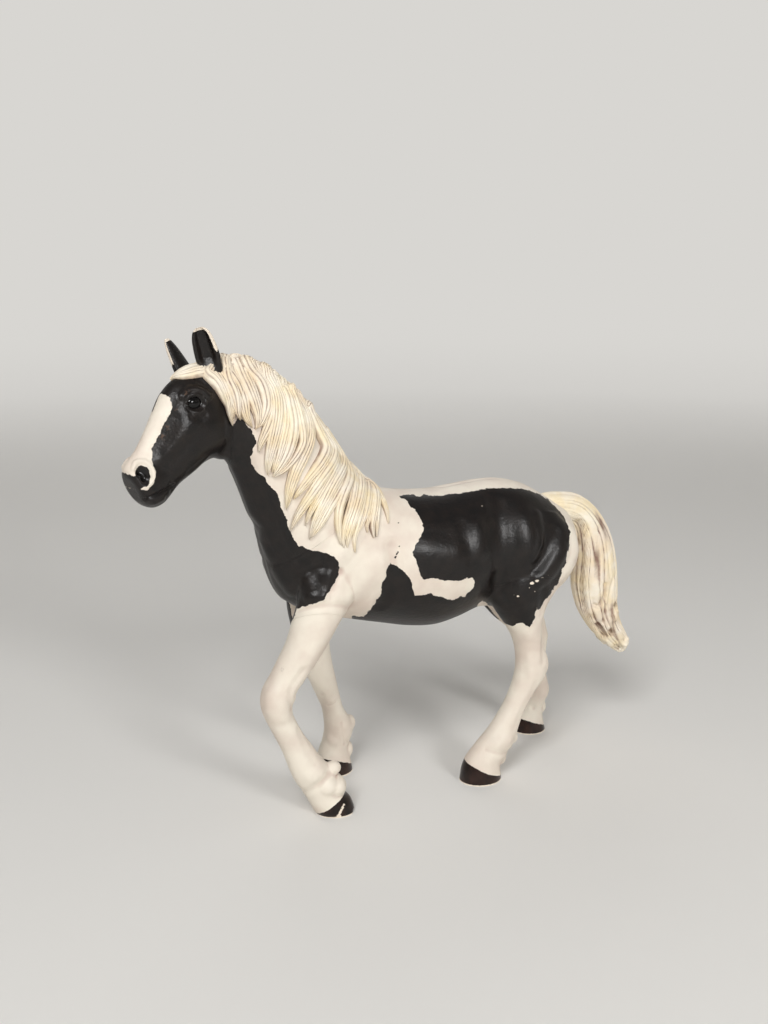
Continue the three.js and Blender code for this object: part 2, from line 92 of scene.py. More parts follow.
# Each row is one ring of a casting: the upper or front point as shares of the body's length
# (x) and of the withers' height (z), the lower or rear point the same way, the half width as
# a share of the casting's width, and the sideways place of its middle as a share of the
# barrel's width.
BODY_SHARES = (
    (0.827, 0.833, 0.842, 0.731, 0.113, 0),
    (0.813, 0.857, 0.83, 0.651, 0.256, 0),
    (0.781, 0.878, 0.799, 0.592, 0.356, 0),
    (0.733, 0.912, 0.739, 0.55, 0.419, 0),
    (0.673, 0.947, 0.661, 0.53, 0.456, 0),
    (0.607, 0.966, 0.583, 0.542, 0.481, 0),
    (0.535, 0.969, 0.511, 0.55, 0.431, 0),
    (0.451, 0.96, 0.427, 0.528, 0.481, 0),
    (0.379, 0.953, 0.355, 0.515, 0.497, 0),
    (0.307, 0.956, 0.278, 0.524, 0.484, 0),
    (0.236, 0.966, 0.2, 0.544, 0.453, 0),
    (0.176, 0.984, 0.122, 0.565, 0.422, 0),
    (0.128, 1.015, 0.044, 0.589, 0.403, 0),
    (0.082, 1.068, -0.028, 0.618, 0.384, 0),
    (0.049, 1.125, -0.086, 0.658, 0.35, 0),
    (0.017, 1.177, -0.119, 0.722, 0.309, -0.006),
    (-0.01, 1.222, -0.136, 0.797, 0.275, -0.016),
    (-0.038, 1.258, -0.152, 0.87, 0.25, -0.025),
    (-0.071, 1.288, -0.177, 0.939, 0.225, -0.034),
    (-0.107, 1.314, -0.198, 1.002, 0.206, -0.044),
    (-0.148, 1.338, -0.218, 1.055, 0.194, -0.053),
    (-0.196, 1.359, -0.238, 1.092, 0.184, -0.062),
    (-0.25, 1.359, -0.268, 1.121, 0.169, -0.069),
    (-0.292, 1.333, -0.292, 1.161, 0.138, -0.075),
)
HEAD_SHARES = (
    (-0.239, 1.346, -0.225, 1.155, 0.321),
    (-0.282, 1.356, -0.241, 1.099, 0.434),
    (-0.332, 1.355, -0.279, 1.105, 0.472),
    (-0.382, 1.333, -0.312, 1.095, 0.491),
    (-0.418, 1.298, -0.34, 1.076, 0.481),
    (-0.441, 1.256, -0.364, 1.061, 0.434),
    (-0.461, 1.218, -0.383, 1.049, 0.377),
    (-0.481, 1.183, -0.4, 1.033, 0.34),
    (-0.499, 1.154, -0.416, 1.015, 0.321),
    (-0.519, 1.131, -0.435, 0.999, 0.33),
    (-0.534, 1.11, -0.462, 0.992, 0.33),
    (-0.532, 1.088, -0.486, 1, 0.292),
    (-0.523, 1.068, -0.501, 1.014, 0.198),
)
TAIL_SHARES = (
    (0.715, 0.89, 0.745, 0.804, 0.3, 0),
    (0.769, 0.904, 0.797, 0.809, 0.33, 0),
    (0.823, 0.902, 0.839, 0.802, 0.35, 0),
    (0.869, 0.894, 0.866, 0.785, 0.37, 0),
    (0.912, 0.871, 0.876, 0.759, 0.4, 0),
    (0.955, 0.83, 0.881, 0.724, 0.43, 0),
    (0.993, 0.772, 0.883, 0.678, 0.46, 0),
    (1.018, 0.711, 0.881, 0.632, 0.48, 0),
    (1.033, 0.645, 0.878, 0.579, 0.49, 0),
    (1.041, 0.579, 0.888, 0.526, 0.47, 0),
    (1.045, 0.512, 0.908, 0.473, 0.44, 0),
    (1.052, 0.453, 0.936, 0.424, 0.39, 0),
    (1.071, 0.403, 0.972, 0.375, 0.33, 0),
    (1.093, 0.362, 1.01, 0.338, 0.27, 0),
    (1.105, 0.33, 1.046, 0.309, 0.19, 0),
    (1.094, 0.303, 1.068, 0.294, 0.09, 0),
)
LEFT_FORE_SHARES = (
    (-0.038, 0.83, 0.102, 0.83, 0.378, -0.212),
    (-0.061, 0.744, 0.088, 0.751, 0.511, -0.244),
    (-0.074, 0.665, 0.078, 0.665, 0.556, -0.263),
    (-0.09, 0.609, 0.047, 0.608, 0.544, -0.267),
    (-0.108, 0.552, 0.016, 0.552, 0.511, -0.271),
    (-0.133, 0.503, -0.017, 0.497, 0.478, -0.275),
    (-0.156, 0.46, -0.048, 0.452, 0.444, -0.279),
    (-0.177, 0.425, -0.08, 0.416, 0.444, -0.283),
    (-0.186, 0.388, -0.097, 0.381, 0.456, -0.288),
    (-0.182, 0.351, -0.101, 0.346, 0.422, -0.292),
    (-0.167, 0.309, -0.089, 0.31, 0.356, -0.296),
    (-0.148, 0.264, -0.07, 0.268, 0.333, -0.3),
    (-0.13, 0.219, -0.046, 0.225, 0.344, -0.304),
    (-0.117, 0.176, -0.022, 0.187, 0.389, -0.308),
    (-0.103, 0.134, 0.008, 0.142, 0.433, -0.312),
    (-0.085, 0.097, 0.021, 0.105, 0.411, -0.312),
    (-0.066, 0.063, 0.038, 0.078, 0.422, -0.312),
    (-0.054, 0.037, 0.048, 0.057, 0.467, -0.312),
    (-0.038, 0.004, 0.062, 0.041, 0.5, -0.312),
    (-0.005, -0.035, 0.073, 0.012, 0.511, -0.312),
)
LEFT_HIND_SHARES = (
    (0.626, 0.888, 0.745, 0.862, 0.4, -0.225),
    (0.575, 0.797, 0.801, 0.79, 0.667, -0.256),
    (0.528, 0.684, 0.807, 0.698, 0.756, -0.275),
    (0.513, 0.612, 0.747, 0.625, 0.7, -0.279),
    (0.538, 0.559, 0.707, 0.572, 0.622, -0.284),
    (0.568, 0.512, 0.689, 0.519, 0.544, -0.288),
    (0.596, 0.462, 0.686, 0.47, 0.478, -0.293),
    (0.608, 0.415, 0.694, 0.42, 0.433, -0.297),
    (0.61, 0.371, 0.709, 0.364, 0.422, -0.302),
    (0.605, 0.33, 0.702, 0.325, 0.411, -0.306),
    (0.592, 0.29, 0.675, 0.287, 0.367, -0.31),
    (0.569, 0.242, 0.646, 0.242, 0.333, -0.315),
    (0.541, 0.199, 0.623, 0.196, 0.333, -0.319),
    (0.51, 0.16, 0.606, 0.147, 0.356, -0.324),
    (0.48, 0.129, 0.591, 0.105, 0.4, -0.328),
    (0.459, 0.106, 0.568, 0.072, 0.411, -0.328),
    (0.446, 0.089, 0.547, 0.049, 0.433, -0.328),
    (0.437, 0.074, 0.546, 0.023, 0.478, -0.328),
    (0.425, 0.036, 0.549, 0.002, 0.522, -0.328),
    (0.418, -0.03, 0.548, -0.03, 0.544, -0.328),
)
RIGHT_FORE_SHARES = (
    (-0.014, 0.83, 0.126, 0.83, 0.378, 0.212),
    (-0.019, 0.744, 0.116, 0.751, 0.511, 0.244),
    (-0.031, 0.651, 0.114, 0.658, 0.556, 0.263),
    (-0.031, 0.592, 0.102, 0.585, 0.533, 0.267),
    (-0.021, 0.532, 0.095, 0.519, 0.5, 0.271),
    (-0.007, 0.466, 0.095, 0.453, 0.456, 0.276),
    (0.012, 0.403, 0.103, 0.393, 0.411, 0.28),
    (0.029, 0.354, 0.112, 0.347, 0.411, 0.284),
    (0.044, 0.311, 0.121, 0.303, 0.411, 0.289),
    (0.061, 0.269, 0.13, 0.261, 0.389, 0.293),
    (0.075, 0.231, 0.14, 0.224, 0.356, 0.298),
    (0.082, 0.191, 0.159, 0.188, 0.367, 0.302),
    (0.085, 0.155, 0.172, 0.152, 0.4, 0.306),
    (0.081, 0.121, 0.169, 0.121, 0.389, 0.311),
    (0.072, 0.092, 0.156, 0.09, 0.367, 0.312),
    (0.065, 0.07, 0.158, 0.063, 0.4, 0.312),
    (0.062, 0.055, 0.166, 0.028, 0.456, 0.312),
    (0.051, 0.018, 0.17, 0.002, 0.5, 0.312),
    (0.046, -0.03, 0.169, -0.03, 0.522, 0.312),
)
RIGHT_HIND_SHARES = (
    (0.655, 0.88, 0.765, 0.838, 0.4, 0.225),
    (0.616, 0.79, 0.832, 0.784, 0.667, 0.256),
    (0.574, 0.671, 0.856, 0.684, 0.756, 0.275),
    (0.585, 0.585, 0.842, 0.598, 0.689, 0.281),
    (0.614, 0.516, 0.835, 0.532, 0.589, 0.287),
    (0.662, 0.454, 0.836, 0.47, 0.5, 0.293),
    (0.713, 0.407, 0.845, 0.417, 0.444, 0.299),
    (0.746, 0.362, 0.859, 0.364, 0.411, 0.305),
    (0.766, 0.317, 0.86, 0.319, 0.4, 0.311),
    (0.781, 0.269, 0.855, 0.272, 0.356, 0.317),
    (0.795, 0.221, 0.862, 0.224, 0.333, 0.323),
    (0.805, 0.179, 0.874, 0.179, 0.344, 0.329),
    (0.809, 0.145, 0.88, 0.142, 0.389, 0.335),
    (0.804, 0.113, 0.868, 0.113, 0.378, 0.341),
    (0.794, 0.086, 0.856, 0.084, 0.367, 0.344),
    (0.782, 0.066, 0.859, 0.057, 0.4, 0.344),
    (0.773, 0.052, 0.863, 0.025, 0.467, 0.344),
    (0.76, 0.015, 0.869, -0.001, 0.511, 0.344),
    (0.756, -0.03, 0.866, -0.03, 0.533, 0.344),
)

# The tail's tip is the figure's rear end, so it tells where the frame's middle lies
TAIL_END_SHARE = 1.105
MIDDLE_X = TAIL_END_SHARE * BODY_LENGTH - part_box("tail")[1][0] / MM


def rings_of(shares, width):
    """A table's rings in millimetres in the frame."""
    return [(x * BODY_LENGTH - MIDDLE_X, z * WITHERS_HEIGHT,
             below_x * BODY_LENGTH - MIDDLE_X, below_z * WITHERS_HEIGHT,
             half * width, *(side * BARREL_WIDTH for side in sideways))
            for x, z, below_x, below_z, half, *sideways in shares]


def place(x, y, z):
    """A point given in shares, in millimetres in the frame."""
    return np.array([x * BODY_LENGTH - MIDDLE_X, y * BARREL_WIDTH, z * WITHERS_HEIGHT])


BODY_RINGS = rings_of(BODY_SHARES, BARREL_WIDTH)
HEAD_RINGS = rings_of(HEAD_SHARES, HEAD_WIDTH)
TAIL_RINGS = rings_of(TAIL_SHARES, TAIL_WIDTH)
LEG_RINGS = {
    "left_foreleg": rings_of(LEFT_FORE_SHARES, LEG_WIDTH),
    "left_hindleg": rings_of(LEFT_HIND_SHARES, LEG_WIDTH),
    "right_foreleg": rings_of(RIGHT_FORE_SHARES, LEG_WIDTH),
    "right_hindleg": rings_of(RIGHT_HIND_SHARES, LEG_WIDTH),
}

# Small balls of material added to the castings: middle (x, y, z), half sizes (x, y, z)
ADDED_BALLS = (
    ((-24.0, -10.9, 11.2), (2.0, 1.8, 1.7)),
    ((-23.6, -10.7, 6.6), (2.8, 3.4, 2.8)),
    ((-26.2, -10.9, 7.8), (3.0, 3.6, 3.0)),
    ((-11.3, 10.2, 5.2), (1.3, 2.0, 2.2)),
    ((-10.6, 9.8, 12.4), (1.2, 1.8, 2.0)),
    ((49.1, 10.9, 11.6), (1.3, 1.8, 2.0)),
    ((48.2, 11.0, 6.2), (1.3, 2.0, 2.2)),
    ((25.6, -10.4, 9.6), (1.3, 1.8, 2.0)),
    ((21.9, -10.5, 5.0), (1.6, 2.2, 2.3)),
)

# Seam planes of the mouldings: a point on the plane, in shares, and the way it faces
NECK_SEAM = (place(0.02, 0, 0.88), (-0.56, 0, 0.83))
HEAD_SEAM = (place(-0.236, 0, 1.22), (-0.995, 0, -0.04))
LEG_SEAMS = {
    "left_foreleg": (place(0, -0.42, 0.645), (-0.15, -0.5, -0.85)),
    "right_foreleg": (place(0.03, 0.42, 0.645), (-0.15, 0.5, -0.85)),
    "left_hindleg": (place(0.66, -0.47, 0.67), (-0.1, -0.6, -0.8)),
    "right_hindleg": (place(0.69, 0.47, 0.67), (-0.1, 0.6, -0.8)),
}

# The head is made looking straight ahead and turned about an upright line at the poll
POLL = place(-0.244, -0.0625, 1.34)
HEAD_TURN = math.radians(20)

# Rounds of easing after the body's shapes are melted together, and of averaging where the
# paint asks which way the skin faces
BODY_ROUNDS = 8
FACING_ROUNDS = 12
# Rounds of averaging that show the hollows, and the depth of a full one; the coat darkens the hollows as
# painted shade
HOLLOW_ROUNDS = 30
HOLLOW_DEPTH = 0.25
# The body's rings from this one on carry the head
NAPE_RING = 17
# The cutters of the legs widen below this height, over this depth
FLARE_TOP = 42
FLARE_DEPTH = 8
# How far the cutters stand off the legs, and how much they widen
CUTTER_ROOM = 1.2
CUTTER_FLARE = 3
# A line that's laid on the skin comes in from this far out, and gives up after this length
OUT_THERE = 40
RAY_LENGTH = 60
BALL_SIDES = 32
BALL_RINGS = 20

# Modelling strokes: height, reach, side (-1 left, 1 right, 0 both), points (x, z) seen from
# the side
BODY_STROKES = (
    # ribs and flank
    (0.45, 5.0, 0, ((-1, 61.8), (5.2, 60.4))),
    (-0.22, 2.6, 0, ((8.6, 66.5), (8.8, 59))),
    (0.42, 3.2, 0, ((12.8, 66.4), (13, 60.4))),
    (-0.35, 3.2, 0, ((19.8, 71), (18.9, 65), (18.2, 59), (18.6, 52.5))),
    (-0.4, 3.0, 0, ((18.6, 52.5), (21.5, 46.5))),
    # haunch
    (0.35, 5.0, 0, ((26.6, 66.5), (27.4, 60))),
    (0.35, 2.0, 0, ((30.2, 67), (29.4, 61.5), (27.8, 57.3))),
    (-0.45, 2.7, 0, ((34.6, 62.4), (31.4, 58.8), (28.4, 54.8))),
    (0.5, 3.2, 0, ((36.2, 57.6), (32.4, 54), (29, 51.6))),
    (-0.25, 2.4, 0, ((40.5, 59.5), (37, 54), (33.4, 50))),
    (0.35, 3.2, 0, ((41.5, 62.5), (41.6, 57))),
    (0.45, 4.0, 0, ((23.6, 50.5), (25.2, 46.4))),
    (-0.3, 2.0, 0, ((30.5, 48.6), (30.8, 42))),
    (0.25, 4.0, 0, ((31, 70.5), (24, 71.5))),
    # shoulder
    (0.4, 2.6, 0, ((-13.4, 73), (-19, 66), (-25.4, 58.6))),
    (-0.35, 2.4, 0, ((-18.2, 75), (-24.6, 66.4), (-29, 60))),
    (0.55, 4.4, 0, ((-13.6, 59.5), (-19, 53))),
    (-0.55, 2.8, 0, ((-9.6, 63.5), (-9.6, 56), (-11.6, 49.4))),
    (0.4, 3.6, 0, ((-30.4, 56.4), (-28.4, 53.6))),
    (-0.3, 1.8, 0, ((-22.4, 58.6), (-25, 53.4))),
    # neck
    (0.45, 3.6, 0, ((-36, 90), (-29, 79), (-22.4, 70.6))),
    (-0.4, 2.4, 0, ((-42, 84.6), (-38, 75), (-34, 64), (-31.5, 59))),
    (0.3, 2.2, 0, ((-43.2, 81.6), (-39.6, 72), (-36, 62))),
    (-0.35, 2.0, 0, ((-44.6, 98.6), (-43.6, 91.4), (-44.6, 86.4))),
)
LEFT_LEG_STROKES = (
    # foreleg
    (0.3, 2.4, -1, ((-39.2, 32), (-39.6, 28.4))),
    (-0.15, 1.6, -1, ((-38.6, 24.6), (-34.4, 25))),
    (0.3, 1.3, -1, ((-33.3, 29.8), (-33.2, 27))),
    (-0.25, 1.2, -1, ((-31.6, 37.4), (-35, 32.6), (-34.4, 28))),
    (-0.16, 1.2, -1, ((-32.8, 22.6), (-31.2, 18), (-29.2, 13.8))),
    (0.15, 1.2, -1, ((-30.6, 21.4), (-28.8, 16.6))),
    (-0.3, 1.7, -1, ((-31.5, 6.6), (-29.8, 8.2), (-27.8, 9.8), (-26.2, 10.8))),
    (0.3, 2.4, -1, ((-28.4, 12), (-30.4, 11.4))),
    (0.3, 2.6, -1, ((-26, 6.6), (-23.4, 7.4))),
    (0.3, 3.0, -1, ((-27, 45), (-31, 39))),
    (-0.3, 1.5, -1, ((-22.4, 46), (-27.4, 37.6), (-30.2, 34.4))),
    # hindleg
    (0.3, 2.0, -1, ((34.4, 31.4), (34.9, 27))),
    (-0.3, 1.4, -1, ((32.6, 34.6), (32.4, 29))),
    (0.25, 1.8, -1, ((28.6, 30.6), (29.2, 26.4))),
    (-0.16, 1.2, -1, ((30.6, 24), (27.2, 18), (24.4, 13))),
    (0.25, 1.0, -1, ((32.4, 22), (29, 16.6))),
    (0.35, 2.2, -1, ((22.6, 10.4), (19.4, 10))),
    (-0.3, 1.3, -1, ((24.6, 6.6), (20.4, 7), (16.4, 8.6))),
    (0.3, 3.0, -1, ((26.4, 42), (28.4, 37.6))),
)
RIGHT_LEG_STROKES = (
    # foreleg
    (0.3, 2.2, 1, ((-22.8, 28.6), (-21.6, 25))),
    (-0.25, 1.2, 1, ((-20.4, 21.8), (-16, 21.4))),
    (-0.25, 0.9, 1, ((-16, 21), (-13.6, 15.4))),
    (0.3, 2.0, 1, ((-14.6, 12.6), (-12, 12.4))),
    (-0.3, 1.2, 1, ((-17.6, 8), (-12, 7.8))),
    (0.3, 3.0, 1, ((-21.6, 44), (-21, 38))),
    # hindleg
    (0.3, 2.0, 1, ((47.6, 32), (48.2, 27))),
    (-0.3, 1.4, 1, ((44.6, 35), (45.4, 29))),
    (-0.25, 0.9, 1, ((46, 24), (46.6, 15))),
    (0.35, 2.0, 1, ((46, 11.6), (48.4, 11))),
    (-0.3, 1.2, 1, ((42.8, 7.4), (48, 7.2))),
)
# Seen on the inner faces of the far legs, so these are laid on from the left
INNER_LEG_STROKES = (
    (-0.25, 0.5, -1, ((-18.0, 19.1), (-16.9, 19.5), (-16.0, 20.2))),
    (0.2, 0.6, -1, ((-18.0, 20.2), (-16.8, 20.8), (-15.8, 21.6))),
    (-0.2, 0.45, -1, ((-18.0, 21.8), (-16.7, 22.3))),
    (0.3, 1.4, -1, ((-19.2, 12), (-16.4, 9))),
    (-0.3, 1.2, -1, ((-14.4, 14), (-13.6, 8))),
)
# Points in space for what a side view can't place: height, reach, points (x, y, z)
SPACE_STROKES = (
    (-0.3, 1.3, ((-31.8, -9.4, 50.0), (-29.9, -11.9, 51.2), (-27.6, -13.0, 51.6),
                 (-24.4, -13.4, 51.3), (-21.4, -12.8, 50.4), (-18.4, -10.6, 48.8))),
    (0.3, 1.6, ((-30.6, -11.4, 53.2), (-25, -13.6, 53.8), (-20, -13, 52.4))),
    (-0.6, 2.0, ((-35, -0.4, 63), (-34, -0.4, 57), (-30, -0.4, 50.4))),
    (0.35, 2.6, ((-34.4, -4.6, 58.4), (-31.6, -5.6, 54))),
    (0.35, 2.6, ((-34.4, 4.2, 58.4), (-31.6, 5.4, 54))),
    (-0.5, 1.6, ((46.4, 0, 60.4), (46, 0, 55), (44.6, 0, 49.5))),
    (-0.3, 1.6, ((30, 0, 73.6), (20, 0, 74.6), (10, 0, 73.9))),
)

# The head, in its own straight frame
HEAD_STROKES = (
    # eye: socket, brow, lids
    (-0.7, 2.4, 0, ((-56.0, 97.7), (-54.8, 97.8))),
    (0.55, 1.4, 0, ((-57.8, 99.4), (-56.0, 100.6), (-53.6, 100.2), (-52.2, 99.1))),
    (0.45, 0.7, 0, ((-57.3, 97.6), (-56.6, 98.9), (-55.3, 99.5), (-54.0, 99.0), (-53.1, 98.0))),
    (0.35, 0.6, 0, ((-57.3, 97.4), (-56.4, 96.5), (-55.1, 96.1), (-53.9, 96.6), (-53.1, 97.6))),
    (-0.2, 1.2, 0, ((-56.8, 95.1), (-55.2, 94.7), (-53.6, 95.3))),
    (-0.3, 1.6, 0, ((-53.2, 102.1), (-51.6, 101.0))),
    # face
    (0.3, 2.4, 0, ((-56.6, 93.9), (-59.2, 91.0), (-61.6, 88.2))),
    (-0.25, 2.2, 0, ((-57.4, 90.4), (-60.6, 87.0), (-62.8, 84.6))),
    (-0.2, 2.0, 0, ((-60.2, 95.0), (-62, 92), (-64.6, 88.6))),
    (0.5, 4.8, 0, ((-51.8, 92.0), (-50.6, 89.6))),
    (-0.35, 1.8, 0, ((-47.6, 97.0), (-46.3, 92), (-47.2, 87.2))),
    (0.25, 1.4, 0, ((-52.4, 85.8), (-56.4, 83.2))),
    # nostril
    (0.45, 0.8, 0, ((-69.3, 85.4), (-68.5, 86.6), (-66.9, 86.7), (-65.7, 85.2), (-65.6, 83.5))),
    (0.3, 0.7, 0, ((-65.6, 84.2), (-66.0, 82.6), (-67.2, 81.7))),
    (-1.0, 1.7, 0, ((-68.2, 84.8), (-67.6, 84.3), (-67.4, 83.5))),
    # lips and chin
    (-0.5, 0.6, 0, ((-67.4, 78.9), (-66.4, 79.3), (-64.2, 79.9), (-61.8, 80.6), (-60.2, 81.0))),
    (0.25, 1.3, 0, ((-65.2, 78.0), (-63.2, 78.5))),
    (-0.25, 1.2, 0, ((-60.4, 79.8), (-61.2, 81.2))),
)
# The eye's middle (x, z), its half sizes, and how deep its middle lies under the skin
EYE = {"middle": (-55.25, 97.8), "half_sizes": (1.8, 1.05, 1.45), "depth": 0.3}

# The photograph's view: where it was taken from, its pitch and heading, and its focal length
# and middle in pixels
VIEWPOINT = np.array([-88.36 - MIDDLE_X, -225.97, 121.77])
VIEW_PITCH = math.radians(11.98)
VIEW_HEADING = math.radians(25.457)
FOCAL_PIXELS = 1070
PHOTO_MIDDLE = (384, 512)
VIEW_AHEAD = np.array([math.sin(VIEW_HEADING) * math.cos(VIEW_PITCH),
                       math.cos(VIEW_HEADING) * math.cos(VIEW_PITCH), -math.sin(VIEW_PITCH)])
VIEW_RIGHT = np.array([math.cos(VIEW_HEADING), -math.sin(VIEW_HEADING), 0])
VIEW_UP = np.cross(VIEW_RIGHT, VIEW_AHEAD)

# Millimetres that a pixel covers on the near side, and the distances from the viewpoint
# between which the figure lies
PIXEL = 0.235
SIGHT_RANGE = range(190, 300)
# Value of a paint well outside its outlines, and how high the hooves' lower edge is rubbed
OUTSIDE = -9
RUBBED_EDGE = 0.26

# Details of the photograph in which outlines were read: left, top and enlargement
HEAD_DETAIL = (105, 315, 7.65)
MANE_DETAIL = (202, 329, 6)
CHEST_DETAIL = (220, 520, 8.711)
TORSO_DETAIL = (345, 460, 6.533)
WHOLE = (0, 0, 1)

# Edges of the black on the near side, as pixels of those details. Past the outline of the
# figure they only close the shape.
NECK_PATCH = (
    (MANE_DETAIL, (
        (180, 575), (195, 560), (215, 540), (245, 540), (262, 570), (285, 595), (298, 600),
        (305, 625), (320, 650), (325, 680), (310, 705), (305, 740), (290, 775), (300, 810),
        (320, 850), (345, 872), (375, 885), (395, 925), (425, 960), (450, 985), (460, 1020),
        (475, 1065), (495, 1110), (515, 1150),
    )),
    (CHEST_DETAIL, (
        (580, 0), (590, 50), (605, 90), (625, 125), (645, 170), (665, 205), (690, 232), (715, 228),
        (740, 238), (765, 252), (800, 258), (830, 272), (870, 278), (910, 288), (950, 295),
        (990, 315), (1020, 350), (1035, 385), (1040, 420), (1035, 460), (1020, 510), (1000, 545),
        (970, 590), (950, 625), (925, 655), (905, 690), (880, 710), (845, 718), (810, 735),
        (780, 742), (730, 752), (700, 762), (675, 770), (650, 765), (625, 755), (590, 742),
        (560, 738),
    )),
    (WHOLE, ((270, 612), (60, 640), (60, 340), (200, 340), (222, 395), (226, 415))),
)
HIND_PATCH = (
    (TORSO_DETAIL, (
        (348, 228), (380, 232), (405, 228), (440, 224), (470, 235), (490, 242), (515, 225),
        (545, 232), (590, 235), (650, 230), (720, 222), (790, 212), (850, 200), (920, 188),
        (1000, 184), (1080, 184), (1150, 188), (1210, 200), (1265, 222), (1320, 255), (1370, 300),
        (1410, 345), (1440, 395), (1462, 440), (1470, 480), (1466, 530), (1462, 580), (1448, 620),
        (1445, 665), (1435, 690), (1418, 710), (1405, 770), (1395, 800), (1370, 830), (1350, 860),
        (1335, 890), (1310, 915), (1290, 945), (1275, 975), (1262, 978), (1252, 962), (1245, 985),
        (1240, 1030), (1230, 1070), (1205, 1090), (1180, 1085), (1160, 1068), (1130, 1065),
        (1118, 1080), (1090, 1088), (1065, 1075), (1040, 1068), (1010, 1040), (990, 1010),
        (960, 975), (930, 940), (900, 918), (868, 940), (850, 1040), (780, 1140), (300, 1180),
        (20, 1100), (50, 1018), (120, 1025), (150, 995), (180, 960), (205, 925), (200, 912), (228, 895),
        (235, 870), (240, 830), (250, 790), (268, 760), (272, 720), (285, 690), (295, 672),
        (325, 690), (360, 710), (395, 735), (415, 760), (430, 775), (438, 810), (445, 850),
        (452, 882), (480, 885), (520, 885), (535, 872), (560, 870), (578, 888), (620, 890),
        (650, 900), (668, 915), (700, 915), (735, 900), (760, 890), (785, 895), (800, 875),
        (820, 850), (845, 830), (852, 810), (840, 775), (830, 768), (800, 770), (775, 778),
        (750, 790), (720, 785), (660, 792), (600, 778), (560, 770), (520, 778), (505, 770),
        (488, 740), (480, 700), (465, 660), (450, 630), (445, 600), (455, 560), (480, 530),
        (492, 510), (500, 480), (512, 450), (505, 410), (492, 380), (475, 350), (450, 320),
        (425, 300), (412, 285), (395, 262), (370, 245),
    )),
)
# The far side isn't in the photograph. It's painted like the near one, with edges of its
# own: points (x, z) seen straight from the side.
FAR_NECK_PATCH = (
    (-44, 99), (-40.6, 96.4), (-38.4, 92), (-36.8, 88.4), (-36.4, 84.6), (-33.6, 81),
    (-31.4, 76.4), (-29.4, 72.4), (-27.6, 68.4), (-24.8, 65.6), (-21, 63.6), (-17.2, 63.8),
    (-14.6, 61), (-13.2, 57), (-15, 53.2), (-18.2, 50.6), (-22, 48.8), (-26, 47.2),
    (-29, 47), (-33, 47), (-60, 40), (-90, 60), (-90, 120), (-50, 112), (-46, 104),
)
FAR_HIND_PATCH = (
    (4, 72.6), (9, 71.9), (15, 72.1), (21, 72.3), (27, 72.4), (33, 71.4), (38.4, 69.6),
    (42.6, 66.8), (46, 63.4), (48, 59.6), (48.6, 55.4), (47.6, 51.6), (46.4, 47.6),
    (45.4, 43.4), (43.6, 40.4), (42.4, 37), (40.6, 35.4), (39, 37.4), (37, 36.8),
    (35.6, 34.4), (33, 35), (31, 33.4), (28, 34), (24, 33.6), (10, 34), (-12, 40),
    (-12.6, 43.6), (-10.6, 46), (-8.4, 50), (-6.4, 52.6), (-3, 54.2), (0, 57.4),
    (4.4, 58.8), (8.4, 57.2), (12.2, 57.6), (13.6, 60.4), (12, 63.2), (7.6, 64.6),
    (4.4, 66.8), (2.6, 69.8),
)
FAR_FORELEG_PATCH = (
    (-40, 60), (-10, 56), (-12.6, 49.6), (-15.6, 46.6), (-17, 42.4), (-19.4, 40.4),
    (-21.2, 41.4), (-23.4, 38.6), (-26, 37.4), (-40, 36),
)
# The white blaze, seen straight from the side in the head's own frame. The black hooks in
# round the nostril.
BLAZE = (
    (-61.3, 101.1), (-60.3, 99.8), (-60.1, 98.2), (-60.6, 96.2), (-61.6, 94.7), (-62.6, 93.1),
    (-63.4, 91.6), (-64.5, 90.1), (-65.0, 89.1), (-65.2, 87.7), (-65.4, 86.1), (-65.2, 84.6),
    (-65.3, 83.4), (-66.0, 81.9), (-67.2, 81.1), (-68.7, 81.1), (-68.7, 81.5), (-67.4, 81.7),
    (-66.8, 82.3), (-67.2, 83.2), (-68.9, 83.6), (-69.8, 84.3), (-74, 84.9), (-76, 92),
    (-66, 104), (-62.2, 102.4),
)
# Round the dock and between the buttocks it's bare of black: how far out, and behind what x
DOCK = (5, 40)
# The near side's patches end this far past the middle, so none shows on the far legs
NEAR_REACH = 2.5
# How far round a leg's skin has turned sideways where its outer face's patches end
LEG_TURNOVER = 0.35
# On the forehead the blaze ends a little past the middle: how far past, above what height
BLAZE_END = (1.0, 96.5)
# The nostril's middle and half sizes, and how far beside the middle line it starts
NOSTRIL = ((-67.6, 84.0), (1.45, 1.95))
NOSTRIL_FROM = 1.0

# Top of each hoof: the hoof lies below z = a x + b y + c
HOOF_TOPS = {
    "left_foreleg": (0.6, -0.25, 14.8),
    "right_foreleg": (-0.35, -0.3, 0.3),
    "left_hindleg": (-0.45, 0.13, 12.1),
    "right_hindleg": (-0.37, -0.1, 20.0),
}

# Where the paint has come off or is scuffed, on the near side: pixels of a detail, reach in
# millimetres, and how much longer than wide
CHIPS = (
    (TORSO_DETAIL, 1130, 890, 0.2, 1.6), (TORSO_DETAIL, 1222, 805, 0.36, 1.5),
    (TORSO_DETAIL, 1255, 790, 0.26, 2), (TORSO_DETAIL, 1290, 770, 0.14, 2),
    (TORSO_DETAIL, 1355, 735, 0.14, 1), (TORSO_DETAIL, 1330, 752, 0.12, 1),
    (TORSO_DETAIL, 1205, 835, 0.12, 1), (TORSO_DETAIL, 1105, 880, 0.12, 1),
    (TORSO_DETAIL, 895, 300, 0.1, 2), (TORSO_DETAIL, 1240, 860, 0.1, 1),
    (WHOLE, 344.0, 804.6, 0.26, 1), (WHOLE, 342.8, 807.2, 0.3, 1), (WHOLE, 341.4, 810, 0.34, 1),
    (WHOLE, 340, 812.8, 0.32, 1), (WHOLE, 338.8, 816, 0.36, 1.6),
)
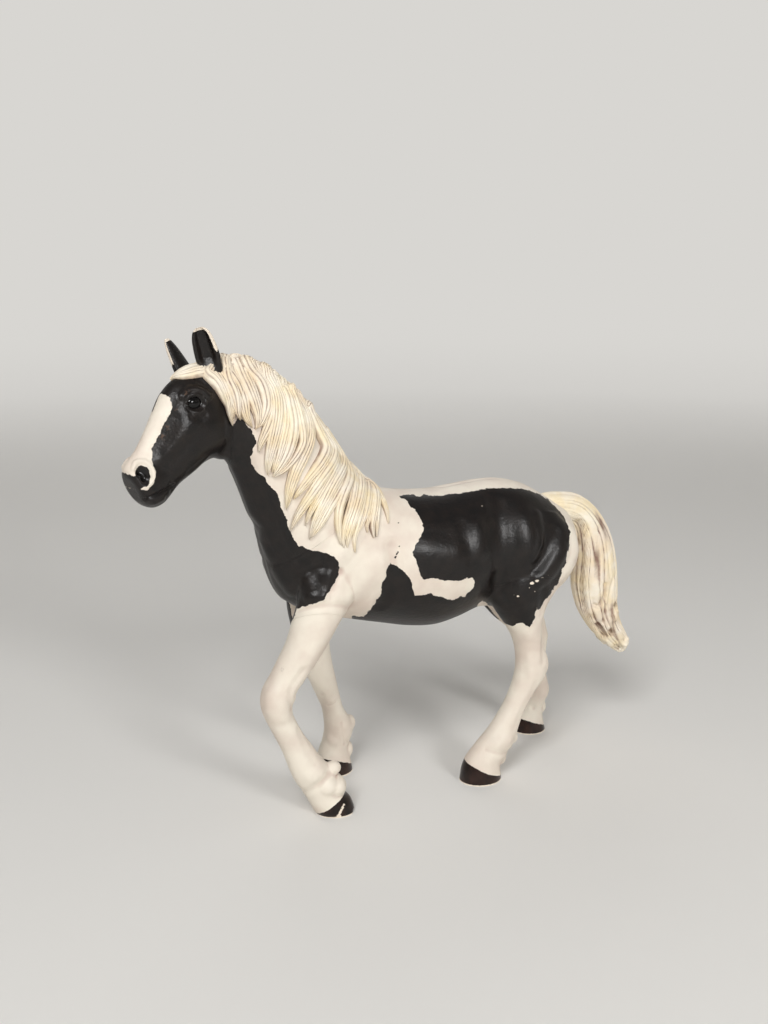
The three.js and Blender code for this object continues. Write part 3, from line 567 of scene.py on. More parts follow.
SPECKS = (
    (TORSO_DETAIL, 330, 635, 0.3, 1), (TORSO_DETAIL, 338, 615, 0.2, 1), (TORSO_DETAIL, 345, 600, 0.25, 1),
    (TORSO_DETAIL, 355, 565, 0.2, 1), (TORSO_DETAIL, 350, 410, 0.2, 1),
)
SCUFFS = (
    (HEAD_DETAIL, 625, 590, 0.8, 1), (HEAD_DETAIL, 540, 720, 0.6, 1), (HEAD_DETAIL, 470, 850, 1.0, 1),
    (HEAD_DETAIL, 440, 930, 0.9, 1), (WHOLE, 282, 669, 0.7, 1), (WHOLE, 318, 607.5, 0.3, 1),
)

# The tail's near face as it's seen in the photograph: height, reach, pixels of the detail
TAIL_DETAIL = (555, 520, 10.81)
TAIL_STROKES = (
    # the edge between the near face and the shaded inner one, and the hollow under the root
    (0.4, 1.3, ((365, 150), (350, 400), (335, 700), (390, 1000))),
    (-0.35, 1.8, ((280, 300), (260, 600), (290, 900))),
    (-0.6, 1.6, ((250, 20), (260, 120), (250, 250))),
    # creases between the locks
    (-0.8, 1.0, ((545, 700), (535, 800), (505, 890), (465, 940), (425, 925))),
    (-0.55, 0.8, ((560, 930), (540, 1020), (525, 1100))),
    (-0.4, 0.7, ((400, 860), (395, 950), (430, 1060))),
    (-0.5, 0.9, ((640, 620), (605, 760), (590, 900), (600, 980))),
    (-0.3, 0.6, ((470, 100), (455, 400), (460, 640))),
    (-0.3, 0.6, ((560, 250), (590, 500), (600, 620))),
    (-1.1, 1.3, ((690, 880), (655, 915))),
    # hollow ends of the locks
    (-1.0, 1.3, ((455, 1140), (500, 1200), (530, 1260))),
    (-0.9, 1.1, ((600, 1190), (625, 1230))),
    (-1.1, 1.3, ((675, 1370), (700, 1400))),
    # their full parts
    (0.5, 1.5, ((440, 980), (470, 1060))),
    (0.5, 1.3, ((590, 1090), (585, 1150))),
    (0.7, 1.2, ((565, 1290), (600, 1345))),
    (0.8, 1.2, ((770, 1290), (755, 1340))),
    (0.4, 1.2, ((700, 1200), (720, 1260))),
    (0.7, 1.6, ((655, 1000), (645, 1060))),
    (0.35, 2.0, ((470, 800), (440, 700))),
)

# Hair. Each lock: width, thickness, strands, where on the crest it starts (x), and the
# points that it runs through down to its tip, as pixels of a detail. They're laid on the neck
# or head underneath.
MANE_LOCKS = (
    (3.6, 1.1, 4, -45.2, ((140, 165), (170, 260), (215, 350), (245, 430), (262, 520), (300, 590))),
    (3.8, 1.3, 4, -42.4, ((200, 165), (250, 290), (310, 430), (335, 520), (330, 580), (318, 600))),
    (3.6, 1.5, 4, -39.8, ((260, 200), (340, 310), (385, 420), (385, 490), (360, 560), (335, 590))),
    (3.4, 1.2, 4, -38.2, ((300, 215), (370, 330), (420, 470), (400, 580), (355, 680), (340, 740))),
    (3.8, 1.5, 5, -36.0, ((370, 245), (430, 380), (450, 520), (430, 660), (400, 800), (395, 875))),
    (3.4, 1.2, 4, -34.0, ((420, 275), (480, 420), (500, 560), (480, 680), (450, 790), (420, 860))),
    (3.4, 1.5, 4, -32.2, ((480, 340), (520, 460), (545, 580), (520, 720), (470, 820), (425, 885))),
    (2.4, 1.8, 3, -30.6, ((520, 350), (560, 470), (590, 590), (600, 680), (560, 770), (490, 850),
                          (430, 885))),
    (3.6, 1.3, 4, -28.6, ((560, 370), (620, 520), (640, 640), (600, 760), (560, 850), (530, 950),
                          (510, 1050), (505, 1080))),
    (3.2, 1.6, 4, -26.8, ((640, 450), (660, 560), (700, 640), (740, 720), (700, 820), (640, 900),
                          (580, 980), (550, 1020))),
    (3.0, 1.7, 4, -25.8, ((650, 520), (720, 640), (770, 720), (775, 790), (720, 890), (650, 1000),
                          (580, 1110), (532, 1207))),
    (2.8, 1.4, 4, -23.6, ((700, 540), (760, 650), (790, 740), (790, 820), (740, 930), (680, 1040),
                          (640, 1120), (620, 1180))),
    (3.2, 1.7, 4, -21.8, ((740, 590), (810, 700), (830, 800), (790, 920), (730, 1050), (680, 1150),
                          (645, 1260))),
    (2.6, 1.4, 3, -20.6, ((770, 620), (850, 740), (860, 850), (830, 960), (760, 1080), (700, 1190),
                          (655, 1250))),
    (2.8, 1.6, 3, -19.4, ((800, 650), (870, 780), (880, 880), (850, 980), (820, 1080), (815, 1180),
                          (832, 1295))),
    (2.8, 1.4, 3, -18.2, ((850, 740), (900, 850), (910, 960), (890, 1080), (860, 1180), (845, 1270),
                          (850, 1310))),
    (2.8, 1.7, 4, -16.8, ((880, 790), (930, 880), (945, 980), (920, 1100), (890, 1200), (870, 1280),
                          (868, 1310))),
    (2.2, 1.3, 3, -15.8, ((900, 800), (950, 900), (965, 1000), (950, 1090), (930, 1180), (910, 1260),
                          (917, 1340))),
    (2.4, 1.5, 3, -14.6, ((930, 830), (975, 920), (990, 1020), (975, 1110), (950, 1180), (935, 1220))),
    (2.2, 1.3, 3, -13.2, ((960, 860), (1010, 950), (1015, 1040), (1000, 1120), (985, 1180),
                          (992, 1222))),
    (2.2, 1.6, 3, -12.2, ((990, 890), (1030, 970), (1035, 1060), (1020, 1150), (1018, 1200),
                          (1030, 1255))),
    (1.8, 1.3, 3, -11.8, ((1010, 920), (1045, 1000), (1050, 1080), (1045, 1160), (1045, 1245))),
    (1.8, 1.0, 3, -11.2, ((1020, 920), (1060, 990), (1090, 1050), (1110, 1110), (1118, 1165))),
)
# Each lock starts on the far side of the crest and comes over it: how far behind its start,
# and the place across
OVER_THE_CREST = ((0, 2.4), (0.1, 0), (0.2, -3))
# A lock's make: points across each strand, steps between two points of its line, rounds of
# easing of that line, the share of its length at which it starts to taper, its width at
# the root, the depth of its grooves and how much that varies, how far it's sunk in, and the
# points of its underside
STRAND_POINTS = 7
LOCK_STEPS = 7
LOCK_ROUNDS = 6
TAPER_FROM = 0.55
ROOT_WIDTH = 0.75
GROOVE_DEPTH = 0.3
GROOVE_CHANGE = 0.12
LOCK_SUNK = 0.45
UNDERSIDE = np.linspace(0.8, -0.8, 5)
# How much of a groove's wash and painted shade the ends of a lock and of the tail take
LOCK_END_WASH_AND_SHADE = 0.6
TAIL_END_WASH_AND_SHADE = 0.5
# Rounds of easing of the shape that the hair is laid on
CREST_ROUNDS = 6
# The tail's strands, and the depth of the grooves between them
TAIL_STRANDS = 26
TAIL_GROOVE = 0.38
# The roll of hair along the crest: width, thickness, strands, and points (x, y)
CREST_ROLLS = (
    (6.6, 1.5, 6, ((-46.6, -2.2), (-44.4, -2.0), (-41.4, -1.4), (-37.6, -0.8), (-33.6, -0.6),
                   (-30.2, -0.4))),
    (5.4, 0.8, 5, ((-36.6, -0.6), (-32.0, -0.3), (-28.0, 0), (-24.8, 0.2), (-22.2, 0.2))),
    (4.6, 0.6, 5, ((-27.2, 0), (-24.6, 0), (-21.6, 0), (-17.6, 0), (-14.4, -0.4), (-11.6, -1.0))),
)
# The forelock starts behind the ears at the points (x, y) and sweeps forwards and down
FORELOCK_LOCKS = (
    (3.2, 1.4, 4, ((-49.2, -1.2), (-52.0, -2.6)), ((747, 393), (657, 378), (566, 423), (491, 483))),
    (3.4, 1.3, 4, ((-48.9, -1.4), (-51.6, -3.0)), ((755, 430), (690, 440), (610, 464), (515, 494))),
    (2.8, 1.3, 3, ((-48.7, -1.7), (-51.4, -3.6)),
     ((752, 405), (768, 450), (815, 494), (880, 560), (943, 672), (986, 800))),
    (2.8, 1.6, 4, ((-48.4, -1.9), (-51.2, -4.0)),
     ((777, 418), (838, 476), (906, 559), (958, 672), (1004, 762))),
    (2.8, 1.5, 4, ((-48.2, -2.2), (-50.8, -4.3)),
     ((800, 412), (883, 476), (943, 559), (1004, 672))),
    (2.8, 1.3, 3, ((-47.8, -2.4), (-50.4, -4.6)), ((820, 405), (900, 440), (975, 520), (1030, 620))),
    (3.6, 1.2, 4, ((-47.4, -0.6), (-50.4, 0.2), (-53.4, -0.4)), ((600, 385), (540, 430))),
)
# The locks between forelock and mane, hanging over the cheek's rear edge
TEMPLE_LOCKS = (
    (2.4, 1.9, 3, -45.6, ((20, 270), (60, 300), (110, 350), (150, 420), (165, 500), (182, 578))),
    (2.6, 1.8, 3, -45.0, ((150, 300), (190, 370), (210, 440), (215, 500), (228, 545))),
    (2.4, 1.6, 3, -44.6, ((130, 220), (180, 290), (225, 360), (245, 430))),
)

# Ears: base and tip in shares, the turn of the wide way in degrees, the side on which the
# hollow lies, and how much wider than the ear's width the foot is and the tip. Each ring is a
# share of the ear's length from its base, then its half width and half depth as shares of
# the ear's width and depth.
EARS = {
    "left_ear": (place(-0.276, -0.16, 1.35), place(-0.31, -0.197, 1.471), -17, -1, (1.08, 1.1)),
    "right_ear": (place(-0.312, 0.075, 1.316), place(-0.36, 0.144, 1.436), 40, 1, (1.3, 0.7)),
}
EAR_SIDES = 72
# The ear's hollow: how far it reaches across, and its depth, as shares of the half sizes;
# and the paler rim: where it lies across and its width
EAR_HOLLOW = (0.62, 1.35)
EAR_RIM = (0.88, 0.2)
EAR_SHARES = (
    (-0.14, 0.4, 0.42), (0, 0.45, 0.48), (0.12, 0.48, 0.5), (0.28, 0.5, 0.5), (0.45, 0.49, 0.46),
    (0.6, 0.46, 0.42), (0.74, 0.42, 0.36), (0.86, 0.35, 0.28), (0.93, 0.27, 0.21), (0.98, 0.16, 0.13),
)

# How rough each surface is, the height of its fine relief, and how it mirrors
ROUGHNESS = {"ivory": 0.5, "black": 0.33, "hoof": 0.28, "bare": 0.6, "wet": 0.05, "hair": 0.55,
             "floor": 0.9}
COAT_RELIEF = 0.05 * MM
HAIR_RELIEF = 0.04 * MM
PVC_IOR = 1.5
COAT_SPECULAR = 0.36
FLOOR_SPECULAR = 0.2
# Colours that only vary the paints: the thin black, the hooves' dark streaks, eyes and
# nostrils, the wiped and the pinkish hair, and the far backdrop
BROWNISH_BLACK = "#1E1815"
DARK_HORN = "#150E0C"
WET_BLACK = "#060505"
WIPED_HAIR = "#F6EEDD"
PINK_HAIR = "#D6BBAA"
BACKDROP = "#D8D6D2"
# The floor's profile, curving up far off: radius and height in millimetres
FLOOR_PROFILE = ((1, 0), (300, 0), (700, 0), (900, 12), (1050, 60), (1160, 150), (1220, 300),
                 (1240, 600), (1240, 1000))
FLOOR_SIDES = 96
# Between these distances, in metres, the floor fades to the evenly pale backdrop
FADE_FROM = 0.35
FADE_TO = 1.1
# Lamps: name, place and size in metres, watts; all of them face the lit point
LAMPS = (
    ("key", (-0.42, -0.46, 0.62), 0.28, 3.5),
    ("window", (0.12, -0.72, 0.36), 0.2, 2.3),
    ("back", (0.25, 0.65, 0.55), 0.5, 0.8),
)
LIT_POINT = (0, 0, 0.05)
WORLD_LIGHT = 0.22
# The camera's lens and sensor in millimetres, and the distances that it sees in metres
LENS = 37.62
SENSOR = 36
CLIP = (0.01, 20)


def linear(hex_colour):
    """A colour given as on a screen, turned to what the shader needs."""
    parts = [int(hex_colour[i:i + 2], 16) / 255 for i in (1, 3, 5)]
    return (*(p / 12.92 if p <= 0.04045 else ((p + 0.055) / 1.055) ** 2.4 for p in parts), 1.0)


def colour_setting(name, description, hex_colour):
    """A colour that the panel shows."""
    return bpy.props.FloatVectorProperty(name=name, description=description, subtype="COLOR",
                                         size=4, min=0, max=1, default=linear(hex_colour))


def length_setting(name, description, default, low, high):
    """A length that the panel shows."""
    return bpy.props.FloatProperty(name=name, description=description, unit="LENGTH",
                                   default=default, min=low, max=high, precision=5)


class ToyHorseSizes(bpy.types.PropertyGroup):
    """Sizes that a maker would change."""

    body_grain: length_setting("Body grain", "Size of the facets of body and legs",
                               0.00034, 0.0002, 0.002)
    head_grain: length_setting("Head grain", "Size of the facets of the head",
                               0.00021, 0.00015, 0.002)
    glue_line: length_setting("Glue line", "Width of the seam between two mouldings",
                              0.00004, 0.00001, 0.0003)


class ToyHorseColours(bpy.types.PropertyGroup):
    """Colours of the paints."""

    ivory: colour_setting("Ivory", "Ivory of the coat", "#ECE3D4")
    black: colour_setting("Black", "Black of the patches", "#141110")
    # Laid in random clouds, and darker in the hollows, where it is painted shade as well as wash
    wash_and_shade: colour_setting("Wash", "Thin pinkish wash in the hollows of the ivory", "#C3A99C")
    bare: colour_setting("Bare", "Bare plastic where the paint has come off", "#E9DCCB")
    scuff: colour_setting("Scuff", "Brown of scuffed places", "#5E4432")
    hoof: colour_setting("Hoof", "Brown-black of the hooves", "#33201A")
    hair: colour_setting("Hair", "Cream of mane and tail", "#F0E0BE")
    # Darker in the grooves between the strands: painted shade as well as wash
    hair_wash_and_shade: colour_setting("Hair wash", "Wash between the strands", "#8A6E60")
    floor: colour_setting("Floor", "Floor of the studio", "#E9E7E3")


def sizes():
    """The sizes that the panel shows."""
    return bpy.context.scene.toy_horse_sizes


def colours():
    """The colours that the panel shows."""
    return bpy.context.scene.toy_horse_colours


# Meshes
def deselect():
    """Leaves nothing selected."""
    bpy.ops.object.select_all(action="DESELECT")


def select(*pieces):
    """Selects pieces alone, the first one active."""
    deselect()
    for piece in pieces:
        piece.select_set(True)
    bpy.context.view_layer.objects.active = pieces[0]


def smooth_rows(rows, steps):
    """More rows on a smooth curve through a table's rows."""
    rows = np.array(rows, float)
    ends = np.vstack([2 * rows[0] - rows[1], rows, 2 * rows[-1] - rows[-2]])
    made = []
    for a, b, c, d in zip(ends, ends[1:], ends[2:], ends[3:]):
        for t in np.arange(steps) / steps:
            made.append(b + 0.5 * t * (c - a + t * (2 * a - 5 * b + 4 * c - d + t * (3 * (b - c) + d - a))))
    return np.vstack([made, rows[-1]])


def mesh_piece(name, points, faces):
    """A mesh from points in millimetres, with its normals outwards."""
    mesh = bpy.data.meshes.new(name)
    mesh.from_pydata([tuple(p * MM) for p in points], [], faces)
    shape = bmesh.new()
    shape.from_mesh(mesh)
    bmesh.ops.recalc_face_normals(shape, faces=shape.faces)
    shape.to_mesh(mesh)
    shape.free()
    piece = bpy.data.objects.new(name, mesh)
    bpy.context.scene.collection.objects.link(piece)
    return piece


def skin_over(name, rings):
    """A closed skin over rings of points, all of one length, with a fan over each end."""
    count, sides = len(rings), len(rings[0])
    points = np.vstack([*rings, rings[0].mean(0), rings[-1].mean(0)])
    faces = []
    for k in range(sides):
        n = (k + 1) % sides
        for r in range(count - 1):
            faces.append((r * sides + k, r * sides + n, (r + 1) * sides + n, (r + 1) * sides + k))
        faces.append((len(points) - 2, n, k))
        faces.append((len(points) - 1, (count - 1) * sides + k, (count - 1) * sides + n))
    return mesh_piece(name, points, faces)


def casting_loft(name, rows, grow=0.0, steps=6, sides=72, turn=False, foot=0.0):
    """The smooth casting through a table's rings, grown all round, and more so at the foot."""
    angle = np.linspace(0, 2 * np.pi, sides, endpoint=False)[:, None]
    rings = []
    for row in smooth_rows(rows, steps):
        upper, lower = np.array([row[0], 0, row[1]]), np.array([row[2], 0, row[3]])
        reach = (upper - lower) / 2
        middle = (upper + lower) / 2
        more = grow + foot * min(max((FLARE_TOP - middle[2]) / FLARE_DEPTH, 0), 1)
        reach *= 1 + more / max(np.linalg.norm(reach), 0.01)
        middle[1] = row[5] if len(row) > 5 else 0
        across = np.array([0, row[4] + more, 0])
        rings.append(middle + np.cos(angle) * reach + np.sin(angle) * across)
    if turn:
        rings = [turned(ring) for ring in rings]
    return skin_over(name, rings)


def turned(points, back=False):
    """Points of the straight head, turned with it (or turned back)."""
    points = np.array(points, float).reshape(-1, 3)
    angle = -HEAD_TURN if back else HEAD_TURN
    c, s = math.cos(angle), math.sin(angle)
    if back:
        x, y = points[:, 0] - POLL[0], points[:, 1] - POLL[1]
        return np.stack([c * x - s * y + POLL[0], s * x + c * y, points[:, 2]], 1)
    x, y = points[:, 0] - POLL[0], points[:, 1]
    return np.stack([c * x - s * y + POLL[0], s * x + c * y + POLL[1], points[:, 2]], 1)


def ball(name, middle, half_sizes, turn=0.0):
    """An oval ball, its middle in millimetres."""
    deselect()
    bpy.ops.mesh.primitive_uv_sphere_add(segments=BALL_SIDES, ring_count=BALL_RINGS, radius=MM,
                                         location=[m * MM for m in middle],
                                         rotation=(0, 0, turn))
    piece = bpy.context.active_object
    piece.name = name
    bpy.ops.transform.resize(value=half_sizes, orient_type="LOCAL",
                             center_override=[m * MM for m in middle])
    bpy.ops.object.transform_apply(location=True, rotation=True, scale=True)
    return piece


def joined(name, pieces):
    """Several pieces made one."""
    select(*pieces)
    if len(pieces) > 1:
        bpy.ops.object.join()
    piece = bpy.context.active_object
    piece.name = piece.data.name = name
    return piece


def melted(piece, grain, rounds):
    """One skin round overlapping shapes, its creases eased a little."""
    select(piece)
    remesh = piece.modifiers.new("Melt", "REMESH")
    remesh.mode, remesh.voxel_size = "VOXEL", grain
    bpy.ops.object.modifier_apply(modifier="Melt")
    ease = piece.modifiers.new("Ease", "SMOOTH")
    ease.factor, ease.iterations = 0.5, rounds
    bpy.ops.object.modifier_apply(modifier="Ease")
    return piece


def cut_off(piece, point, facing, offset=0.0):
    """Cuts away what lies ahead of a plane, and closes the cut."""
    select(piece)
    facing = Vector(facing).normalized()
    bpy.ops.object.mode_set(mode="EDIT")
    bpy.ops.mesh.select_all(action="SELECT")
    bpy.ops.mesh.bisect(plane_co=Vector(point) * MM + facing * offset, plane_no=facing,
                        use_fill=True, clear_outer=True, threshold=1e-8)
    bpy.ops.object.mode_set(mode="OBJECT")
    return piece


def boolean(piece, other, operation):
    """A piece cut by another, or cut down to what they share."""
    select(piece)
    change = piece.modifiers.new("Change", "BOOLEAN")
    change.operation, change.object, change.solver = operation, other, "MANIFOLD"
    bpy.ops.object.modifier_apply(modifier="Change")
    return piece


def copy_of(piece, name):
    """A copy of a piece with a mesh of its own."""
    made = piece.copy()
    made.data = piece.data.copy()
    made.name = made.data.name = name
    bpy.context.scene.collection.objects.link(made)
    return made


def remove(*pieces):
    """Takes pieces out of the scene."""
    for piece in pieces:
        bpy.data.objects.remove(piece)


def points_of(piece):
    """A piece's vertices in millimetres."""
    found = np.empty(len(piece.data.vertices) * 3, np.float32)
    piece.data.vertices.foreach_get("co", found)
    return found.reshape(-1, 3).astype(float) / MM


def normals_of(piece):
    """The normals at a piece's vertices."""
    found = np.empty(len(piece.data.vertices) * 3, np.float32)
    piece.data.vertices.foreach_get("normal", found)
    return found.reshape(-1, 3).astype(float)


def put_points(piece, points):
    """Moves a piece's vertices to points in millimetres."""
    piece.data.vertices.foreach_set("co", (points * MM).astype(np.float32).ravel())
    piece.data.update()


def put_values(piece, name, values):
    """Gives a piece one named value per vertex, for its material."""
    layer = piece.data.attributes.get(name) or piece.data.attributes.new(name, "FLOAT", "POINT")
    layer.data.foreach_set("value", np.asarray(values, np.float32))


def tree_of(piece):
    """A piece's surface in millimetres, to be met by lines."""
    points = [Vector(p) for p in points_of(piece)]
    return BVHTree.FromPolygons(points, [list(face.vertices) for face in piece.data.polygons])


# Modelling strokes
def distance_to_line(points, line):
    """Distance of each point to a line of short straight parts."""
    line = np.array(line, float)
    if len(line) == 1:
        return np.linalg.norm(points - line[0], axis=1)
    best = np.full(len(points), 1e9)
    for a, b in zip(line, line[1:]):
        t = np.clip((points - a) @ (b - a) / max((b - a) @ (b - a), 1e-9), 0, 1)
        best = np.minimum(best, np.linalg.norm(points - (a + t[:, None] * (b - a)), axis=1))
    return best


def laid_on(tree, line, side, turn=False):
    """A line seen from the side, laid on the skin: what it meets first coming in from there."""
    found = []
    dense = smooth_rows([(x, z) for x, z in line], 3) if len(line) > 1 else line
    for x, z in dense:
        start, end = np.array([x, side * OUT_THERE, z], float), np.array([x, 0, z], float)
        if turn:
            start, end = turned(start)[0], turned(end)[0]
        start, end = Vector(start), Vector(end)
        hit = tree.ray_cast(start, (end - start).normalized(), RAY_LENGTH)[0]
        if hit is None:
            hit = tree.find_nearest(start.lerp(end, 0.85))[0]
        found.append(np.array(hit))
    return found


def push(points, normals, line, height, reach):
    """Moves the points near a line along their normals, most at the line."""
    near = (points > np.min(line, 0) - reach) & (points < np.max(line, 0) + reach)
    near = np.nonzero(np.all(near, 1))[0]
    if len(near) == 0:
        return
    away = distance_to_line(points[near], line) / reach
    points[near] += normals[near] * (height * np.where(away < 1, (1 - away ** 2) ** 2, 0))[:, None]


def model(piece, strokes, space_strokes=(), turn=False):
    """Pushes the skin out or in along each stroke."""
    tree = tree_of(piece)
    points, normals = points_of(piece), normals_of(piece)
    for height, reach, side, line in strokes:
        for one in (side,) if side else (LEFT, RIGHT):
            push(points, normals, laid_on(tree, line, one, turn), height, reach)
    for height, reach, line in space_strokes:
        push(points, normals, smooth_rows(line, 3), height, reach)
    put_points(piece, points)


def neighbour_mean(piece, values, rounds):
    """Values averaged over each vertex's neighbours, again and again."""
    edges = np.empty(len(piece.data.edges) * 2, np.int32)
    piece.data.edges.foreach_get("vertices", edges)
    a, b = edges[0::2], edges[1::2]
    count = np.bincount(a, minlength=len(values)) + np.bincount(b, minlength=len(values))
    for _ in range(rounds):
        total = np.stack([np.bincount(a, one[b], len(one)) + np.bincount(b, one[a], len(one))
                          for one in values.T], 1)
        values = 0.5 * values + 0.5 * total / np.maximum(count, 1)[:, None]
    return values


def hollows(piece, rounds):
    """How far each vertex lies below its surroundings, in millimetres."""
    points = points_of(piece)
    return np.sum((neighbour_mean(piece, points, rounds) - points) * normals_of(piece), 1)


# Paint edges
def inside_by(flat, outline):
    """Signed distance to a closed outline, above 0 inside it."""
    corners = np.array(outline, float)
    after = np.roll(corners, -1, 0)
    best = np.full(len(flat), 1e9)
    within = np.zeros(len(flat), bool)
    for a, b in zip(corners, after):
        t = np.clip((flat - a) @ (b - a) / max((b - a) @ (b - a), 1e-9), 0, 1)
        best = np.minimum(best, np.linalg.norm(flat - (a + t[:, None] * (b - a)), axis=1))
        crosses = (a[1] > flat[:, 1]) != (b[1] > flat[:, 1])
        at = a[0] + (flat[:, 1] - a[1]) / (b[1] - a[1] if b[1] != a[1] else 1e-9) * (b[0] - a[0])
        within ^= crosses & (flat[:, 0] < at)
    return np.where(within, best, -best)


def in_photo(points):
    """Where points are seen in the photograph, in pixels."""
    away = points - VIEWPOINT
    deep = away @ VIEW_AHEAD
    return np.stack([PHOTO_MIDDLE[0] + FOCAL_PIXELS * (away @ VIEW_RIGHT) / deep,
                     PHOTO_MIDDLE[1] - FOCAL_PIXELS * (away @ VIEW_UP) / deep], 1)


def whole_photo(detail, spots):
    """Pixels of an enlarged detail as pixels of the whole photograph."""
    left, top, enlargement = detail
    return [(left + x / enlargement, top + y / enlargement) for x, y in spots]


def met(tree, spot):
    """Where the line of sight through a pixel meets a shape, or comes nearest to it."""
    across, up = spot[0] - PHOTO_MIDDLE[0], PHOTO_MIDDLE[1] - spot[1]
    way = Vector(VIEW_AHEAD + VIEW_RIGHT * across / FOCAL_PIXELS + VIEW_UP * up / FOCAL_PIXELS)
    hit = tree.ray_cast(Vector(VIEWPOINT), way)[0]
    if hit is None:
        tries = [tree.find_nearest(Vector(VIEWPOINT) + way * deep) for deep in SIGHT_RANGE]
        hit = min(tries, key=lambda found: found[3])[0]
    return np.array(hit)


def painted(points, parts):
    """Signed distance to an outline read in the photograph, in millimetres."""
    outline = [spot for detail, spots in parts for spot in whole_photo(detail, spots)]
    return inside_by(in_photo(points), outline) * PIXEL


def spots(points, places):
    """Signed distance to the nearest of some small spots, above 0 inside one."""
    seen = in_photo(points)
    best = np.full(len(points), -1.0)
    for detail, x, y, reach, longer in places:
        away = (seen - whole_photo(detail, [(x, y)])[0]) * PIXEL / (longer, 1)
        best = np.maximum(best, reach - np.linalg.norm(away, axis=1))
    return best


def coat_values(piece, near=(), far=(), turnover=0.0, black=None, hoof=None):
    """Everything that the coat's paint reads, one value per vertex."""
    points = points_of(piece)
    outside = np.full(len(points), float(OUTSIDE))
    sideways = neighbour_mean(piece, normals_of(piece), FACING_ROUNDS)[:, 1]
    if black is None:
        from_near = np.max([outside] + [painted(points, parts) for parts in near], 0)
        from_near[points[:, 1] > NEAR_REACH] = OUTSIDE
        from_far = np.max([outside] + [inside_by(points[:, [0, 2]], edge) for edge in far], 0)
        black = np.where(sideways < turnover, from_near, from_far)
        beside_dock = 2 * np.logaddexp((np.abs(points[:, 1]) - DOCK[0]) / 2, (DOCK[1] - points[:, 0]) / 2)
        black = np.minimum(black, beside_dock)
    put_values(piece, "black", black)
    for name, places in (("chip", CHIPS), ("speck", SPECKS), ("scuff", SCUFFS)):
        hidden = np.where(sideways < 0.1, 0, OUTSIDE)
        put_values(piece, name, np.maximum(spots(points, places) + hidden, -1))
    put_values(piece, "hoof", outside)
    put_values(piece, "gloss", np.zeros(len(points)))
    if hoof is not None:
        a, b, c = hoof
        below = (a * points[:, 0] + b * points[:, 1] + c - points[:, 2]) / math.sqrt(a * a + b * b + 1)
        put_values(piece, "hoof", below)
        put_values(piece, "chip", np.maximum(spots(points, CHIPS), RUBBED_EDGE - points[:, 2]))


def shaded(piece, degrees=40):
    """Shades a piece smooth, apart from its sharp edges."""
    select(piece)
    bpy.ops.object.shade_smooth_by_angle(angle=math.radians(degrees))


def given(piece, material, node):
    """Gives a finished piece its material, body, node and slot."""
    piece.data.materials.clear()
    piece.data.materials.append(material)
    shaded(piece)
    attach(piece, "root")
    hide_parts(node)


# Materials
def add(tree, kind, inputs=(), output=0, **settings):
    """Adds a node with its settings and its inputs, links or plain values; gives its output."""
    node = tree.nodes.new(kind)
    for key, value in settings.items():
        setattr(node, key, value)
    for key, value in dict(inputs).items():
        if isinstance(value, bpy.types.NodeSocket):
            tree.links.new(value, node.inputs[key])
        else:
            node.inputs[key].default_value = value
    return node.outputs[output]


def new_material(name):
    """An empty material and its node tree."""
    material = bpy.data.materials.new(name)
    material.use_nodes = True
    material.node_tree.nodes.clear()
    return material, material.node_tree


